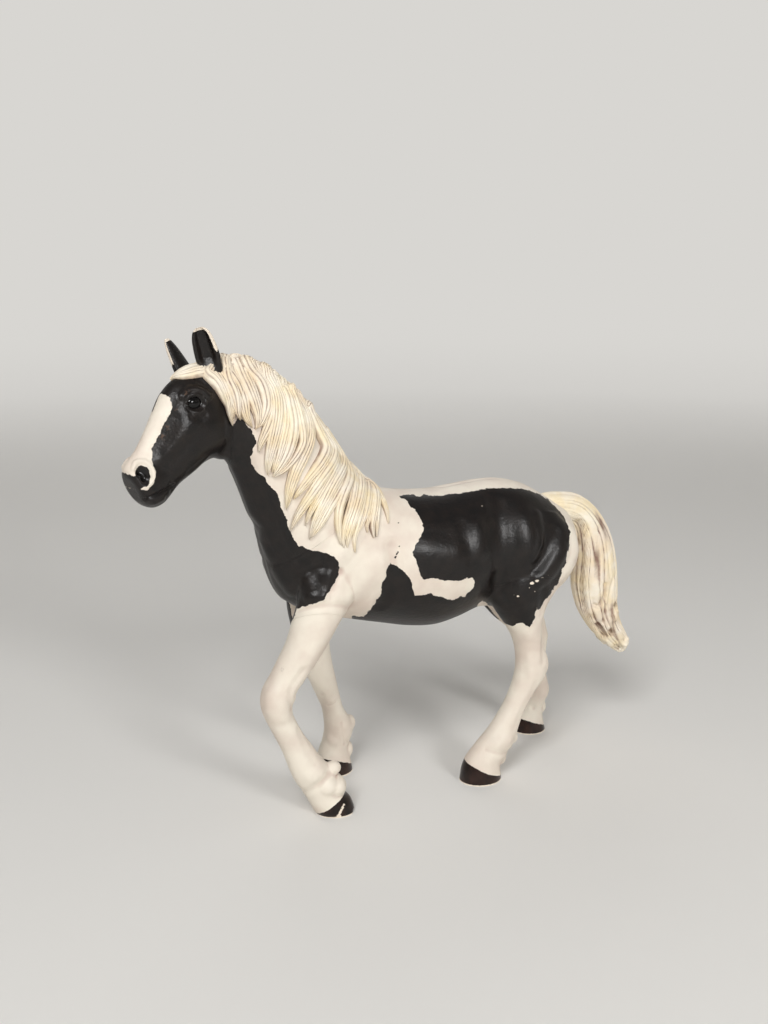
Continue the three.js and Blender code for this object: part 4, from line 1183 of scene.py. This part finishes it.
def coat_material():
    """Flexible PVC, moulded, sprayed ivory, with brushed black satin acrylic over it. The
    spray gives an even, softly shining ground with a thin pinkish wash in the hollows, and
    that darkening of the hollows is painted shade as well as wash; the black is thicker, with
    ragged brush edges and a fine orange peel that breaks its shine up. The hooves are glossy
    brown-black, rubbed bare at their lower edges."""
    paint = colours()
    material, tree = new_material("painted_pvc_coat")
    where = add(tree, "ShaderNodeTexCoord", output="Object")
    read = {name: add(tree, "ShaderNodeAttribute", output="Fac", attribute_name=name)
            for name in ("black", "hollow", "chip", "speck", "scuff", "hoof", "gloss")}
    grain = {size: add(tree, "ShaderNodeTexNoise", {"Vector": where, "Scale": 1 / (size * MM), "Detail": 4})
             for size in (9, 2.5, 1.2, 0.5)}

    # Edges of the paints: the size of the raggedness, its reach and the edge's softness, in mm
    mask = {}
    for name, size, reach, shift, soft in (
            ("black", 1.2, 1.1, 0, 0.03), ("hoof", 1.2, 0.5, 0, 0.04), ("chip", 0.5, 0.25, 0, 0.03),
            ("speck", 0.5, 0.2, 0, 0.03), ("scuff", 0.5, 3.4, 0.6, 0.45)):
        edge = add(tree, "ShaderNodeMath", {0: grain[size], 1: reach, 2: read[name]},
                   operation="MULTIPLY_ADD")
        mask[name] = add(tree, "ShaderNodeMapRange", {
            "Value": edge, "From Min": reach / 2 + shift - soft, "From Max": reach / 2 + shift + soft})
    black = add(tree, "ShaderNodeMath", {0: mask["black"], 1: mask["speck"]}, operation="MAXIMUM")

    # Shares in which two colours are mixed: what sets them, from and to, least and most
    share = {name: add(tree, "ShaderNodeMapRange", {"Value": value, "From Min": low, "From Max": high,
                                                    "To Min": least, "To Max": most})
             for name, value, low, high, least, most in (
                 ("hollow", read["hollow"], 0.05, 0.9, 0, 0.75), ("cloud", grain[9], 0.38, 0.66, 0, 0.42),
                 ("brown", grain[2.5], 0.35, 0.7, 0, 1), ("scuff", mask["scuff"], 0, 1, 0, 0.6),
                 ("dull", mask["scuff"], 0, 1, 0, 0.25), ("peel", black, 0, 1, 0.2, 1))}
    # Random clouds of the pinkish tint, then the hollows darkened with it as painted shade
    colour = paint.ivory
    for part, other in ((share["cloud"], paint.wash_and_shade), (share["hollow"], paint.wash_and_shade),
                        (share["dull"], paint.scuff)):
        colour = add(tree, "ShaderNodeMix", {0: part, 6: colour, 7: other}, 2, data_type="RGBA")
    dark = paint.black
    for part, other in ((share["brown"], linear(BROWNISH_BLACK)), (share["scuff"], paint.scuff)):
        dark = add(tree, "ShaderNodeMix", {0: part, 6: dark, 7: other}, 2, data_type="RGBA")
    horn = add(tree, "ShaderNodeMix", {0: share["brown"], 6: paint.hoof, 7: linear(DARK_HORN)}, 2,
               data_type="RGBA")
    for part, other in ((black, dark), (mask["hoof"], horn), (mask["chip"], paint.bare),
                        (read["gloss"], linear(WET_BLACK))):
        colour = add(tree, "ShaderNodeMix", {0: part, 6: colour, 7: other}, 2, data_type="RGBA")

    rough = ROUGHNESS["ivory"]
    for part, other in ((black, ROUGHNESS["black"]), (mask["hoof"], ROUGHNESS["hoof"]),
                        (mask["chip"], ROUGHNESS["bare"]), (read["gloss"], ROUGHNESS["wet"])):
        rough = add(tree, "ShaderNodeMix", {0: part, 2: rough, 3: other})
    relief = add(tree, "ShaderNodeMath", {0: grain[1.2], 1: 0.9, 2: grain[0.5]}, operation="MULTIPLY_ADD")
    relief = add(tree, "ShaderNodeMath", {0: relief, 1: share["peel"], 2: black}, operation="MULTIPLY_ADD")
    flat = add(tree, "ShaderNodeMath", {0: 1.0, 1: read["gloss"]}, operation="SUBTRACT")
    bump = add(tree, "ShaderNodeBump", {"Strength": flat, "Distance": COAT_RELIEF, "Height": relief})
    shader = add(tree, "ShaderNodeBsdfPrincipled", {
        "Base Color": colour, "Roughness": rough, "Normal": bump,
        "IOR": PVC_IOR, "Specular IOR Level": COAT_SPECULAR})
    add_output(tree, shader)
    return material


def hair_material():
    """The same PVC, brushed cream, then given a grey-brown wash and wiped. The wash stays in
    the grooves between the strands and in patches, where it's painted shade as well as wash,
    and the wiped ridges are palest; it's duller than the coat."""
    paint = colours()
    material, tree = new_material("washed_cream_hair")
    where = add(tree, "ShaderNodeTexCoord", output="Object")
    groove = add(tree, "ShaderNodeAttribute", output="Fac", attribute_name="groove")
    grain = {size: add(tree, "ShaderNodeTexNoise", {"Vector": where, "Scale": 1 / (size * MM), "Detail": 3})
             for size in (10, 4, 1.2, 0.4)}
    edge = add(tree, "ShaderNodeMath", {0: grain[1.2], 1: 0.5, 2: groove}, operation="MULTIPLY_ADD")
    share = {name: add(tree, "ShaderNodeMapRange", {"Value": value, "From Min": low, "From Max": high,
                                                    "To Min": least, "To Max": most})
             for name, value, low, high, least, most in (
                 ("groove_shade_and_wash", edge, 0.5, 1.1, 0, 1), ("patch", grain[10], 0.4, 0.62, 0.45, 1.0),
                 ("tint", grain[10], 0.42, 0.7, 0, 0.35), ("pale", grain[4], 0.35, 0.65, 0, 1))}
    # Darker in the grooves, in patches: painted shade as well as wash
    wash_and_shade = add(tree, "ShaderNodeMath", {0: share["groove_shade_and_wash"], 1: share["patch"]}, operation="MULTIPLY")
    colour = paint.hair
    for part, other in ((share["pale"], linear(WIPED_HAIR)), (share["tint"], linear(PINK_HAIR)),
                        (wash_and_shade, paint.hair_wash_and_shade)):
        colour = add(tree, "ShaderNodeMix", {0: part, 6: colour, 7: other}, 2, data_type="RGBA")
    bump = add(tree, "ShaderNodeBump", {"Strength": 0.6, "Distance": HAIR_RELIEF, "Height": grain[0.4]})
    shader = add(tree, "ShaderNodeBsdfPrincipled", {
        "Base Color": colour, "Roughness": ROUGHNESS["hair"], "Normal": bump, "IOR": PVC_IOR})
    add_output(tree, shader)
    return material


def floor_material():
    """Matt painted board, plain and pale, so that only the figure's shadow shows on it. Far
    off, where it curves up, the camera sees it as evenly pale; it lights nothing."""
    material, tree = new_material("pale_board")
    where = add(tree, "ShaderNodeTexCoord", output="Object")
    off = add(tree, "ShaderNodeVectorMath", {0: where}, output="Value", operation="LENGTH")
    off = add(tree, "ShaderNodeMapRange", {"Value": off, "From Min": FADE_FROM, "From Max": FADE_TO},
              interpolation_type="SMOOTHSTEP")
    seen = add(tree, "ShaderNodeLightPath", output="Is Camera Ray")
    part = add(tree, "ShaderNodeMath", {0: off, 1: seen}, operation="MULTIPLY")
    board = add(tree, "ShaderNodeBsdfPrincipled", {
        "Base Color": colours().floor, "Roughness": ROUGHNESS["floor"],
        "Specular IOR Level": FLOOR_SPECULAR})
    pale = add(tree, "ShaderNodeEmission", {"Color": linear(BACKDROP)})
    add_output(tree, add(tree, "ShaderNodeMixShader", {0: part, 1: board, 2: pale}))
    return material


def add_output(tree, shader):
    """Ends a node tree in its surface."""
    output = tree.nodes.new("ShaderNodeOutputMaterial")
    tree.links.new(shader, output.inputs["Surface"])


def material_of(make, name):
    """The named material, made when it's first asked for."""
    return bpy.data.materials.get(name) or make()


# Hair
def lock_rings(tree, width, thickness, strands, line, seed):
    """Rings of one lock laid on the casting, and how deep in a groove each point is."""
    path = smooth_rows(line, LOCK_STEPS)
    laid, out = [], []
    for p in path:
        place, normal = tree.find_nearest(Vector(p))[:2]
        laid.append(np.array(place))
        out.append(np.array(normal))
    laid, out = np.array(laid), np.array(out)
    for _ in range(LOCK_ROUNDS):
        laid[1:-1] = 0.5 * laid[1:-1] + 0.25 * (laid[:-2] + laid[2:])
        out[1:-1] = 0.5 * out[1:-1] + 0.25 * (out[:-2] + out[2:])
    out /= np.linalg.norm(out, axis=1)[:, None]
    along = np.gradient(laid, axis=0)
    across = np.cross(along, out)
    across /= np.linalg.norm(across, axis=1)[:, None]
    steps = np.linalg.norm(np.diff(laid, axis=0), axis=1)
    share = np.concatenate([[0], np.cumsum(steps)]) / steps.sum()
    u = np.linspace(-1, 1, strands * STRAND_POINTS + 1)
    dome = np.sqrt(np.clip(1 - u ** 2, 0, 1)) ** 0.8
    rings, grooves = [], []
    for i, t in enumerate(share):
        tip = math.sqrt(max(1 - max((t - TAPER_FROM) / (1 - TAPER_FROM), 0) ** 2, 0)) ** 1.3
        root = min(ROOT_WIDTH + t, 1.0)
        half = 0.5 * width * max(tip, 0.06) * root
        height = thickness * (0.35 + 0.65 * max(tip, 0.02)) * min(0.5 + 2.5 * t, 1)
        s = strands * (u + 1) / 2 + 0.3 * math.sin(4 * t + seed) + 0.22 * np.sin(2.6 * u + 1.7 * seed)
        ridge = np.abs(np.sin(np.pi * s)) ** 0.6
        deep = GROOVE_DEPTH + GROOVE_CHANGE * np.sin(2.3 * np.round(s) + seed)
        top = height * dome - deep * (1 - ridge) * (0.3 + 0.7 * dome)
        # The grooves, the lock's sides and its whole underside take the darkening: painted shade between
        # and under the locks
        groove = np.maximum(1 - ridge, np.clip((np.abs(u) - 0.86) / 0.14, 0, 1) * 0.9)
        upper = laid[i] + np.outer(u * half, across[i]) + np.outer(np.maximum(top, -0.2), out[i])
        lower = laid[i] + np.outer(UNDERSIDE * half, across[i]) - LOCK_SUNK * out[i]
        rings.append(np.vstack([upper, lower]))
        grooves.append(np.concatenate([groove, np.ones(len(UNDERSIDE))]))
    return rings, np.concatenate([*grooves, [LOCK_END_WASH_AND_SHADE] * 2])


def lock_piece(tree, width, thickness, strands, line, seed):
    """One lock as a piece, with how deep in a groove each point is."""
    rings, grooves = lock_rings(tree, width, thickness, strands, line, seed)
    piece = skin_over("lock", rings)
    put_values(piece, "groove", grooves)
    return piece


def on_top(tree, x, y):
    """The point of a shape straight below (x, y)."""
    return np.array(tree.ray_cast(Vector((x, y, 200)), Vector((0, 0, -1)))[0])


def strand_loft(name, rows, strands, depth, steps=14, sides=180):
    """A casting through a table's rings, grooved lengthwise, and how deep in a groove each
    point is."""
    angle = np.linspace(0, 2 * np.pi, sides, endpoint=False)
    rings, grooves = [], []
    smooth = smooth_rows(rows, steps)
    for i, row in enumerate(smooth):
        t = i / (len(smooth) - 1)
        upper, lower = np.array([row[0], 0, row[1]]), np.array([row[2], 0, row[3]])
        reach, across = (upper - lower) / 2, np.array([0, row[4], 0])
        middle = (upper + lower) / 2
        turn = angle + 0.5 * t + 0.25 * np.sin(3 * angle + 2.5 * t) + 0.12 * np.sin(7 * angle + 9 * t)
        ridge = np.abs(np.sin(strands * turn / 2)) ** 0.6
        cut = depth * (1 - ridge) * min(1, 4 * t + 0.1)
        out = np.cos(angle)[:, None] * reach + np.sin(angle)[:, None] * across
        size = np.linalg.norm(out, axis=1)
        rings.append(middle + out * (1 - np.minimum(cut, 0.5 * size) / size)[:, None])
        grooves.append((1 - ridge) * min(1, 4 * t + 0.1))
    return skin_over(name, rings), np.concatenate([*grooves, [TAIL_END_WASH_AND_SHADE] * 2])


# Operators
class TOYHORSE_OT_body(bpy.types.Operator):
    """Make the torso, neck and legs from one modelled skin, cut apart at the seams"""

    bl_idname = "toy_horse.body"
    bl_label = "Torso, neck and legs"

    def execute(self, context):
        gap = sizes().glue_line / MM
        shapes = [casting_loft("body", BODY_RINGS), casting_loft("face", HEAD_RINGS, turn=True)]
        shapes += [casting_loft(name, rows) for name, rows in LEG_RINGS.items()]
        shapes += [ball("added", middle, half) for middle, half in ADDED_BALLS]
        whole = melted(joined("casting", shapes), sizes().body_grain, BODY_ROUNDS)
        model(whole, BODY_STROKES + LEFT_LEG_STROKES + RIGHT_LEG_STROKES, SPACE_STROKES)
        model(whole, INNER_LEG_STROKES)
        model(whole, HEAD_STROKES, turn=True)
        put_points(whole, points_of(whole) * (1, SLIMMER, 1))
        # How deep each point lies in a hollow, where the coat's paint darkens it as painted shade
        put_values(whole, "hollow", np.clip(hollows(whole, HOLLOW_ROUNDS) / HOLLOW_DEPTH, -1, 1))
        cut_off(whole, (0, 0, 0), (0, 0, -1))
        coat = material_of(coat_material, "painted_pvc_coat")

        rest = cut_off(copy_of(whole, "torso"), NECK_SEAM[0], NECK_SEAM[1], -gap * MM / 2)
        neck = cut_off(copy_of(whole, "neck"), NECK_SEAM[0], [-v for v in NECK_SEAM[1]], -gap * MM / 2)
        neck = cut_off(neck, HEAD_SEAM[0], HEAD_SEAM[1], -gap * MM / 2)
        for name, (point, facing) in LEG_SEAMS.items():
            inner = casting_loft("cutter", LEG_RINGS[name], CUTTER_ROOM, foot=CUTTER_FLARE)
            outer = casting_loft("cutter", LEG_RINGS[name], CUTTER_ROOM + gap, foot=CUTTER_FLARE)
            away = [-v for v in facing]
            inner = cut_off(inner, point, away, -gap * MM / 2)
            outer = cut_off(outer, point, away, gap * MM / 2)
            leg = boolean(copy_of(whole, name), inner, "INTERSECT")
            rest = boolean(rest, outer, "DIFFERENCE")
            remove(inner, outer)
            near = (HIND_PATCH,) if name == "left_hindleg" else ()
            far = {"right_hindleg": (FAR_HIND_PATCH,), "right_foreleg": (FAR_FORELEG_PATCH,)}.get(name, ())
            turnover = LEG_TURNOVER if name.startswith("left") else -LEG_TURNOVER
            coat_values(leg, near, far, turnover, hoof=HOOF_TOPS[name])
            given(leg, coat, name)
        remove(whole)
        coat_values(rest, (NECK_PATCH, HIND_PATCH), (FAR_NECK_PATCH, FAR_HIND_PATCH))
        given(rest, coat, "torso")
        coat_values(neck, (NECK_PATCH,), (FAR_NECK_PATCH,))
        given(neck, coat, "neck")
        return {"FINISHED"}


class TOYHORSE_OT_head(bpy.types.Operator):
    """Make the head with its eyes, nostrils and lips"""

    bl_idname = "toy_horse.head"
    bl_label = "Head"

    def execute(self, context):
        gap = sizes().glue_line
        head = joined("head", [casting_loft("body", BODY_RINGS[NAPE_RING:]),
                               casting_loft("face", HEAD_RINGS, turn=True)])
        ratio = sizes().body_grain / sizes().head_grain
        head = melted(head, sizes().head_grain, round(BODY_ROUNDS * ratio ** 2))
        model(head, BODY_STROKES)
        model(head, HEAD_STROKES, turn=True)
        put_points(head, points_of(head) * (1, SLIMMER, 1))
        head = cut_off(head, HEAD_SEAM[0], [-v for v in HEAD_SEAM[1]], -gap / 2)
        tree = tree_of(head)
        eyes, middles = [], []
        for side in (LEFT, RIGHT):
            x, z = EYE["middle"]
            start = Vector(turned((x, side * OUT_THERE, z))[0])
            way = (Vector(turned((x, 0, z))[0]) - start).normalized()
            hit = tree.ray_cast(start, way, RAY_LENGTH)[0]
            middle = np.array(hit + way * EYE["depth"])
            middles.append(middle)
            eyes.append(ball("eye", middle, EYE["half_sizes"], HEAD_TURN))
        head = joined("head", [head, *eyes])
        points = points_of(head)
        straight = turned(points, back=True)
        black = -inside_by(straight[:, [0, 2]], BLAZE)
        (x, z), (wide, high) = NOSTRIL
        nostril = 1 - np.hypot((straight[:, 0] - x) / wide, (straight[:, 2] - z) / high)
        nostril = np.where(np.abs(straight[:, 1]) > NOSTRIL_FROM, nostril, -1)
        past, above = BLAZE_END
        black = np.maximum(black, np.minimum(straight[:, 1] - past, (straight[:, 2] - above) / 2))
        coat_values(head, black=np.maximum(black, nostril * 3))
        put_values(head, "hollow", np.zeros(len(points)))
        gloss = np.clip(nostril * 3 - 0.6, 0, 1)
        for middle in middles:
            away = turned(points - middle + (POLL[0], 0, 0), back=True) - turned((POLL[0], 0, 0), back=True)
            inside = np.linalg.norm(away / EYE["half_sizes"], axis=1) < 1.03
            gloss = np.maximum(gloss, inside)
        put_values(head, "gloss", gloss)
        given(head, material_of(coat_material, "painted_pvc_coat"), "head")
        return {"FINISHED"}


class TOYHORSE_OT_ears(bpy.types.Operator):
    """Make the two hollow ears"""

    bl_idname = "toy_horse.ears"
    bl_label = "Ears"

    def execute(self, context):
        for name, (base, tip, turn, side, (foot, top)) in EARS.items():
            axis = tip - base
            wide = np.array([math.cos(math.radians(turn)), math.sin(math.radians(turn)), 0])
            wide -= axis * (wide @ axis) / (axis @ axis)
            wide /= np.linalg.norm(wide)
            deep = np.cross(axis, wide)
            deep /= np.linalg.norm(deep)
            angle = np.linspace(0, 2 * np.pi, EAR_SIDES, endpoint=False)
            c, s = np.cos(angle), np.sin(angle)
            rings, pale_rim = [], []
            for along, half_wide, half_deep in smooth_rows(EAR_SHARES, 6):
                half_wide *= EAR_WIDTH * (foot + (top - foot) * max(along, 0))
                half_deep *= EAR_DEPTH
                hollow = np.exp(-(c / EAR_HOLLOW[0]) ** 4) * (s * side > 0)
                hollow = hollow * np.clip((along - 0.02) / 0.3, 0, 1)
                depth = s * half_deep - side * hollow * half_deep * EAR_HOLLOW[1]
                rings.append(base + along * axis + np.outer(c * half_wide, wide) + np.outer(depth, deep))
                # The rim and the tip are painted lighter, in the colour of bare plastic
                rim = np.exp(-((c + side * EAR_RIM[0]) / EAR_RIM[1]) ** 2) * (s * side > -0.2)
                pale_rim.append(rim * np.clip((along - 0.3) / 0.2, 0, 1) + np.clip((along - 0.88) / 0.08, 0, 1))
            ear = skin_over(name, rings)
            coat_values(ear, black=np.full(len(ear.data.vertices), 2.0))
            put_values(ear, "hollow", np.zeros(len(ear.data.vertices)))
            put_values(ear, "chip", np.concatenate([*pale_rim, [0, 1]]) - 0.55)
            given(ear, material_of(coat_material, "painted_pvc_coat"), name)
        return {"FINISHED"}


class TOYHORSE_OT_mane(bpy.types.Operator):
    """Make the mane, lock by lock"""

    bl_idname = "toy_horse.mane"
    bl_label = "Mane"

    def execute(self, context):
        under = joined("under", [casting_loft("body", BODY_RINGS),
                                 casting_loft("face", HEAD_RINGS, turn=True)])
        under = melted(under, sizes().body_grain * 2, CREST_ROUNDS)
        tree = tree_of(under)
        rolls = [lock_piece(tree, width, thickness, strands, [on_top(tree, x, y) for x, y in crest], number)
                 for number, (width, thickness, strands, crest) in enumerate(CREST_ROLLS)]
        under = melted(joined("under", [under, *(copy_of(roll, "under") for roll in rolls)]),
                       sizes().body_grain, CREST_ROUNDS)
        tree = tree_of(under)
        remove(under)
        mane, forelock = rolls, []
        for locks, into in ((MANE_LOCKS, mane), (TEMPLE_LOCKS, forelock)):
            for width, thickness, strands, crest, seen in locks:
                line = [on_top(tree, crest + behind, across) for behind, across in OVER_THE_CREST]
                line += [met(tree, spot) for spot in whole_photo(MANE_DETAIL, seen)]
                into.append(lock_piece(tree, width, thickness, strands, line, len(into)))
        for width, thickness, strands, crest, seen in FORELOCK_LOCKS:
            line = [on_top(tree, x, y) for x, y in crest]
            line += [met(tree, spot) for spot in whole_photo(HEAD_DETAIL, seen)]
            forelock.append(lock_piece(tree, width, thickness, strands, line, len(forelock)))
        for name, locks in (("mane", mane), ("forelock", forelock)):
            given(joined(name, locks), material_of(hair_material, "washed_cream_hair"), name)
        return {"FINISHED"}


class TOYHORSE_OT_tail(bpy.types.Operator):
    """Make the tail, a casting of strands with creases between its locks"""

    bl_idname = "toy_horse.tail"
    bl_label = "Tail"

    def execute(self, context):
        tail, groove = strand_loft("tail", TAIL_RINGS, TAIL_STRANDS, TAIL_GROOVE)
        tree = tree_of(tail)
        points, normals = points_of(tail), normals_of(tail)
        for height, reach, seen in TAIL_STROKES:
            line = smooth_rows([met(tree, spot) for spot in whole_photo(TAIL_DETAIL, seen)], 4)
            for side in (LEFT, RIGHT):
                either = line * (1, -side, 1)
                push(points, normals, either, height, reach)
                # Creases and hollows that are pushed in also get darker there, as painted shade
                if height < 0:
                    away = distance_to_line(points, either) / reach
                    groove = np.maximum(groove, np.minimum(-height, 0.9) ** 1.5 * (1.1 - away))
        points[:, 0] = np.minimum(points[:, 0], cad_high[0] / MM)
        put_points(tail, points)
        put_values(tail, "groove", groove)
        given(tail, material_of(hair_material, "washed_cream_hair"), "tail")
        return {"FINISHED"}


class TOYHORSE_OT_studio(bpy.types.Operator):
    """Set the figure in a pale studio, with the photograph's view"""

    bl_idname = "toy_horse.studio"
    bl_label = "Studio"

    def execute(self, context):
        sides = FLOOR_SIDES
        angle = np.linspace(0, 2 * np.pi, sides, endpoint=False)
        points = [np.array([r * math.cos(a), r * math.sin(a), z]) for r, z in FLOOR_PROFILE for a in angle]
        faces = [(r * sides + k, r * sides + (k + 1) % sides,
                  (r + 1) * sides + (k + 1) % sides, (r + 1) * sides + k)
                 for r in range(len(FLOOR_PROFILE) - 1) for k in range(sides)]
        faces.append(tuple(range(sides - 1, -1, -1)))
        mesh = bpy.data.meshes.new("studio_floor")
        mesh.from_pydata([tuple(p * MM) for p in points], [], faces)
        floor = bpy.data.objects.new("studio_floor", mesh)
        context.scene.collection.objects.link(floor)
        floor.data.materials.append(floor_material())
        for face in mesh.polygons:
            face.use_smooth = True

        for name, spot, size, power in LAMPS:
            lamp = bpy.data.lights.new(name, "AREA")
            lamp.size, lamp.energy = size, power
            piece = bpy.data.objects.new(name, lamp)
            piece.location = spot
            piece.rotation_euler = (Vector(LIT_POINT) - Vector(spot)).to_track_quat("-Z", "Y").to_euler()
            piece.visible_camera = False
            context.scene.collection.objects.link(piece)

        world = bpy.data.worlds.new("studio_light")
        world.use_nodes = True
        light = world.node_tree.nodes["Background"]
        light.inputs["Color"].default_value = (1, 1, 1, 1)
        light.inputs["Strength"].default_value = WORLD_LIGHT
        context.scene.world = world
        context.scene.view_settings.view_transform = "Standard"

        lens = bpy.data.cameras.new("photograph")
        lens.lens, lens.sensor_width, lens.sensor_fit = LENS, SENSOR, "AUTO"
        lens.clip_start, lens.clip_end = CLIP
        camera = bpy.data.objects.new("photograph", lens)
        camera.location = VIEWPOINT * MM
        camera.rotation_euler = (math.pi / 2 - VIEW_PITCH, 0, -VIEW_HEADING)
        context.scene.collection.objects.link(camera)
        context.scene.camera = camera
        return {"FINISHED"}


class TOYHORSE_PT_panel(bpy.types.Panel):
    """Lists the steps in the order in which they're run"""

    bl_idname = "TOYHORSE_PT_panel"
    bl_label = "Toy horse"
    bl_space_type = "VIEW_3D"
    bl_region_type = "UI"
    bl_category = "Toy horse"

    def draw(self, context):
        column = self.layout.column()
        for settings in (context.scene.toy_horse_sizes, context.scene.toy_horse_colours):
            for key in settings.__annotations__:
                column.prop(settings, key)
        for step in STEPS:
            column.operator(step.bl_idname)


STEPS = (TOYHORSE_OT_body, TOYHORSE_OT_head, TOYHORSE_OT_ears, TOYHORSE_OT_mane,
         TOYHORSE_OT_tail, TOYHORSE_OT_studio)
CLASSES = (ToyHorseSizes, ToyHorseColours, *STEPS, TOYHORSE_PT_panel)


def register():
    """Adds the settings, steps and panel."""
    for kind in CLASSES:
        bpy.utils.register_class(kind)
    bpy.types.Scene.toy_horse_sizes = bpy.props.PointerProperty(type=ToyHorseSizes)
    bpy.types.Scene.toy_horse_colours = bpy.props.PointerProperty(type=ToyHorseColours)


def unregister():
    """Takes the settings, steps and panel away."""
    del bpy.types.Scene.toy_horse_sizes, bpy.types.Scene.toy_horse_colours
    for kind in reversed(CLASSES):
        bpy.utils.unregister_class(kind)


def main():
    """Builds the figure step by step."""
    register()
    bpy.ops.toy_horse.body()
    bpy.ops.toy_horse.head()
    bpy.ops.toy_horse.ears()
    bpy.ops.toy_horse.mane()
    bpy.ops.toy_horse.tail()
    bpy.ops.toy_horse.studio()


if __name__ == "__main__":
    main()
